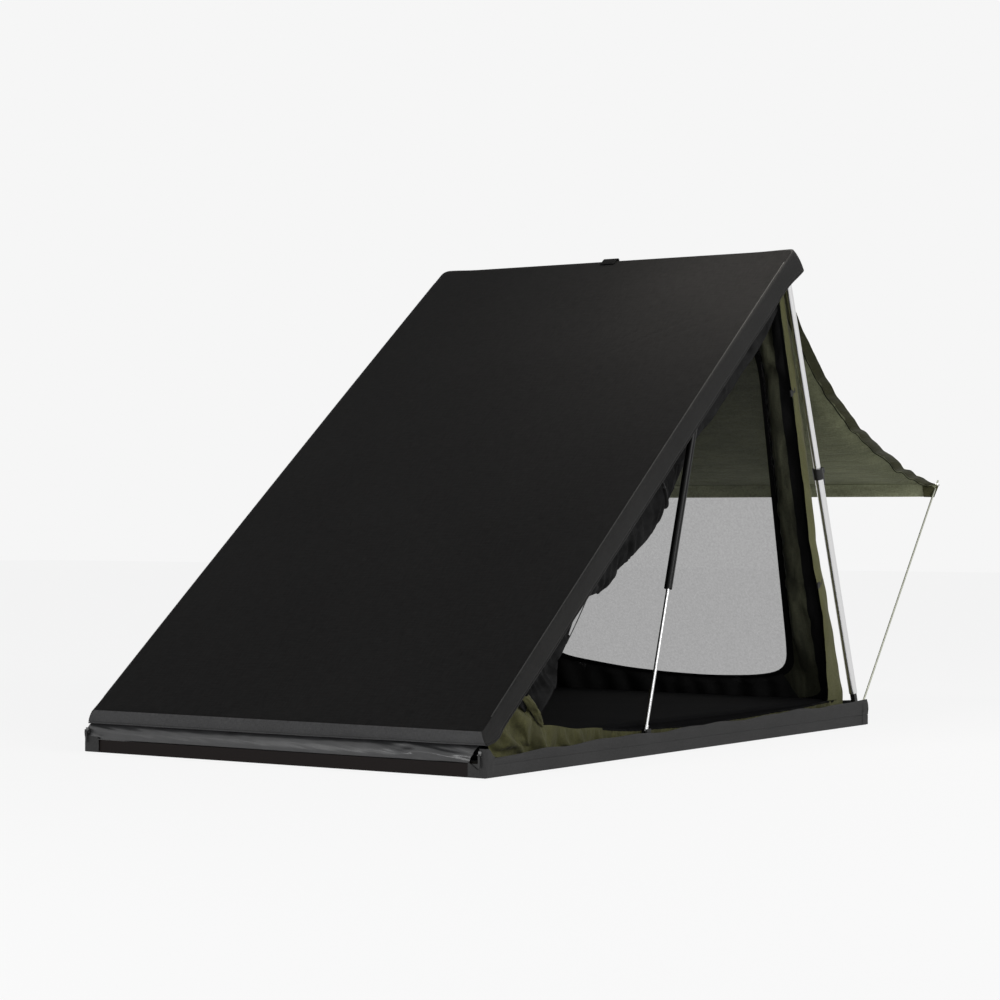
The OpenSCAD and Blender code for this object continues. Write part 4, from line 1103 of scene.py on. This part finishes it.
def awning_pt(u, v):
    x = (2 * u - 1) * (A_W0 + (A_W1 - A_W0) * v - 0.010 * sin(pi * v))
    y = A_TOP[1] + A_REACH * v
    z = A_TOP[2] - A_DROP * a_fall(v)
    z += 0.022 * sin(pi * u) * sin(pi * v)
    w = sin(pi * v)
    z += w * (0.007 * nz(x * 2.3, y * 1.6, 2.0) + 0.005 * sin(2 * pi * 3 * u))
    # the long side edges are scalloped where the hem gathers
    side = exp(-((1 - abs(2 * u - 1)) / 0.06))
    z += smooth(w * 3) * side * (0.012 * nz(y * 13, u * 3, 6.0) + 0.0015 * sin(2 * pi * 13.5 * v))
    # fine creases across the cloth
    z += 0.0022 * w * nz(x * 5, y * 30, 3.0)
    # creases drawn towards the two outer corners
    for s in (1, -1):
        r = hypot(x - s * A_W1, y - A_TOP[1] - A_REACH)
        a = atan2(A_TOP[1] + A_REACH - y, s * (A_W1 - abs(x)) + 1e-6)
        z += 0.006 * exp(-r / 0.25) * sin(11 * a) * smooth(r / 0.06)
    return Vector((x, y, z))


awning = sheet_grid("awning_cloth", *A_GRID, awning_pt, M_AWNING, 1.2, 1.25)
settle(awning, pins(*A_GRID, lambda i, j: j < 2 or j > 118 or i < 3 or i > 93), frames=26, slack=0.004, gravity=0.35)
dress(awning, "awning", "awning")


def edge_band(name, path, across, w, mat, lift=0.0, ripple=0.003):
    """A flat strip of cloth along a line of points; across(i) says which way it lies at the point i."""
    rows, run = [], 0.0
    for i, p in enumerate(path):
        row = []
        d = across(i)
        wav = ripple * nz(run * 14, 3.0) + 0.6 * ripple * nz(run * 40, 6.0)
        for k in range(7):
            g = k / 6
            up = lift + 0.0015 * sin(pi * g) + wav * (1 - g)
            row.append((p + d * (w * g) + Vector((0, 0, 1)) * up, (run, w * g)))
        rows.append(row)
        if i + 1 < len(path):
            run += (path[i + 1] - p).length
    return from_grid(name, rows, mat)


# A doubled hem along each side, folded under, with a dark seam at its inner edge: name, inset, width, material, lift
# and ripple
SIDE_TRIMS = (("hem", -0.003, 0.034, M_HEM, -0.0035, 0.003), ("seam", 0.029, 0.0035, M_BLACK, -0.0085, 0.0024))
# a patch doubles each outer corner: its four corners from the tip of the cloth, outwards, backwards and up
CORNER_PATCH = ((0.008, 0.004, -0.004), (-0.046, -0.005, -0.005), (-0.004, -0.005, -0.042), (-0.040, -0.006, -0.041))
VALANCE = 0.040
trims = []
for s, nm in SIDES:
    path = [awning_pt(0.5 + 0.5 * s, k / A_EDGE) for k in range(A_EDGE + 1)]
    for tag, off, w, mat, low, ripple in SIDE_TRIMS:
        start = [p + Vector((-s * off, 0, 0)) for p in path]
        trims.append(edge_band("awning_side_%s_%s" % (tag, nm), start, lambda i, s=s: Vector((-s, 0, 0)), w, mat, low,
                               ripple))
for s, nm in SIDES:
    a, b, c, d = (awning_pt(0.5 + 0.5 * s, 1.0) + Vector((s * x, y, z)) for x, y, z in CORNER_PATCH)
    rows = [[(a.lerp(b, u / 6).lerp(c.lerp(d, u / 6), v / 6), (0.008 * u, 0.006 * v)) for v in range(7)]
            for u in range(7)]
    trims.append(from_grid("awning_corner_patch_%s" % nm, rows, M_HEM))


def valance_drop(i):
    g = i / A_EDGE
    return Vector((0, 0.10 * sin(9 * g), -1.0)) * (0.15 + 0.85 * smooth(min(g, 1 - g) / 0.02))


# the outer edge ends in a narrow valance that hangs straight down; its lighter colour is painted light
path = [awning_pt(k / A_EDGE, 1.0) for k in range(A_EDGE + 1)]
trims.append(edge_band("awning_valance", path, valance_drop, VALANCE, M_VALANCE_LIT, ripple=0.0))
for trim in trims:
    dress(trim, "awning")
cloth_sheet(awning, 1.201, 1.30)

# Soft pieces fold away as the lid closes; here each only gets a mesh of its own. The side walls lie down flat, turned
# in over the edge of the mattress:
# the piece, its side, its lean in degrees and the height that it lies down to
FOLDED = ((wall_left, -1, 3.4, 0.057), (zipper, -1, 3.4, 0.057), (rear_strip, 1, 3.4, 0.057), (lining, 1, 3.4, 0.057),
          (sill, 1, 20.0, 0.038))
for ob, side, lean, low in FOLDED:
    turn = radians(lean)
    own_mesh(ob)
for ob in (wall_rear, mesh_panel):
    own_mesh(ob)
# the awning folds flat under the lid, nearly level once it has turned, and the foam of the mattress gives way; here
# they only get meshes of their own
for ob in (awning, *trims):
    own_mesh(ob)
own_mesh(mattress)
for ob in (roll, flap, band, leaf, elastic, *toggles):
    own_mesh(ob)

# small hooks on the side walls fold with them; here a copy of the clips rides on the base in their place
clips = NODES["wall_clips"]
hooks = bpy.data.objects.new("wall_hooks", clips.data.copy())
hooks.matrix_world = clips.matrix_world.copy()
bpy.context.scene.collection.objects.link(hooks)
hooks.data.materials.clear()
hooks.data.materials.append(M_PLASTIC)
dress(hooks, "base", "wall_clips")
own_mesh(hooks)

# Stage, light and camera
BACKDROP = 0.9216
scene = bpy.context.scene


def seen_rays(nt):
    """1 for the rays that show the backdrop: straight from the camera, mirrored or passed through."""
    path = add_node(nt, "LightPath")
    fac = path.outputs["Is Camera Ray"]
    for kind in ("Is Glossy Ray", "Is Transmission Ray"):
        fac = add_node(nt, "Math", {0: fac, 1: path.outputs[kind]}, "MAXIMUM").outputs[0]
    return fac


# the light comes from a sky that is pale at the level of the tent and darker above
SKY = ((0.50, (0.85, 0.85, 0.86, 1)), (0.64, (0.55, 0.55, 0.56, 1)), (0.95, (0.16, 0.16, 0.165, 1)))
world = bpy.data.worlds.new("studio")
scene.world = world
world.use_nodes = True
nt = world.node_tree
way = add_node(nt, "SeparateXYZ", {"Vector": add_node(nt, "TexCoord").outputs["Generated"]})
height = add_node(nt, "MapRange", {"Value": way.outputs["Z"], "From Min": -1.0})
ramp = add_node(nt, "ValToRGB", {"Fac": height.outputs["Result"]})
stops = ramp.color_ramp.elements
for stop, (place, color) in zip((stops[0], stops[1]), (SKY[0], SKY[2])):
    stop.position = place
    stop.color = color
stops.new(SKY[1][0]).color = SKY[1][1]
sky = nt.nodes["Background"]
wire(nt, sky, {"Color": ramp.outputs["Color"], "Strength": 1.0})
plain = add_node(nt, "Background", {"Color": (BACKDROP, BACKDROP, BACKDROP, 1)})
mix = add_node(nt, "MixShader", {"Fac": seen_rays(nt), 1: sky.outputs["Background"], 2: plain.outputs["Background"]})
wire(nt, nt.nodes["World Output"], {"Surface": mix.outputs["Shader"]})

# the floor is as pale as the backdrop; the lit share of it keeps the shadow
FLOOR_LIT, FLOOR_GLOW = 0.10, 0.963
bpy.ops.mesh.primitive_plane_add(size=60, location=(0, 0, -0.0015))
floor = bpy.context.object
floor.name = "studio_floor"
m, nt, b = new_mat("studio_floor")
wire(nt, b, {"Base Color": (0.85, 0.85, 0.85, 1), "Roughness": 0.9, "Specular IOR Level": 0.1})
glow = add_node(nt, "Emission", {"Color": (FLOOR_GLOW, FLOOR_GLOW, FLOOR_GLOW, 1)})
share = add_node(nt, "Math", {0: seen_rays(nt), 1: 1 - FLOOR_LIT}, "MULTIPLY")
mix = add_node(nt, "MixShader", {"Fac": share.outputs[0], 1: b.outputs["BSDF"], 2: glow.outputs["Emission"]})
wire(nt, nt.nodes["Material Output"], {"Surface": mix.outputs["Shader"]})
floor.data.materials.append(m)


def lamp(name, loc, target, size, power, color=(1, 1, 1)):
    d = bpy.data.lights.new(name, "AREA")
    d.shape = "RECTANGLE"
    d.size, d.size_y = size
    d.energy = power
    d.color = color
    o = bpy.data.objects.new(name, d)
    scene.collection.objects.link(o)
    o.location = loc
    o.rotation_euler = (Vector(target) - Vector(loc)).to_track_quat("-Z", "Y").to_euler()
    return o


lamp("key_right", (5.5, -1.0, 3.2), (0.3, 0.1, 0.3), (3.0, 3.0), 200)
lamp("front_low", (-0.5, -5.5, 1.2), (0, -1.0, 0.1), (4.0, 1.2), 110)
lamp("rear_top", (0.52, 0.22, 1.86), (0.60, 0.60, 1.33), (0.4, 0.4), 14, (1.0, 0.95, 0.88)).visible_camera = False

# Camera, fitted to the photo: its place, and its yaw, pitch and roll in degrees
CAM_AT, CAM_TURN = (3.951, -6.044, 0.583), (33.30, 0.71, 0.25)
cam_data = bpy.data.cameras.new("camera")
cam_data.sensor_width = 36.0
cam_data.lens = 91.48
cam = bpy.data.objects.new("camera", cam_data)
scene.collection.objects.link(cam)
yaw, pitch, tilt = (radians(a) for a in CAM_TURN)
fwd = Vector((-sin(yaw) * cos(pitch), cos(yaw) * cos(pitch), sin(pitch)))
right = Vector((cos(yaw), sin(yaw), 0))
up = right.cross(fwd)
cam_x = right * cos(tilt) + up * sin(tilt)
cam_y = up * cos(tilt) - right * sin(tilt)
cam.matrix_world = Matrix([(cam_x[i], cam_y[i], -fwd[i], CAM_AT[i]) for i in range(3)] + [(0, 0, 0, 1)])
scene.camera = cam
scene.view_settings.view_transform = "Standard"
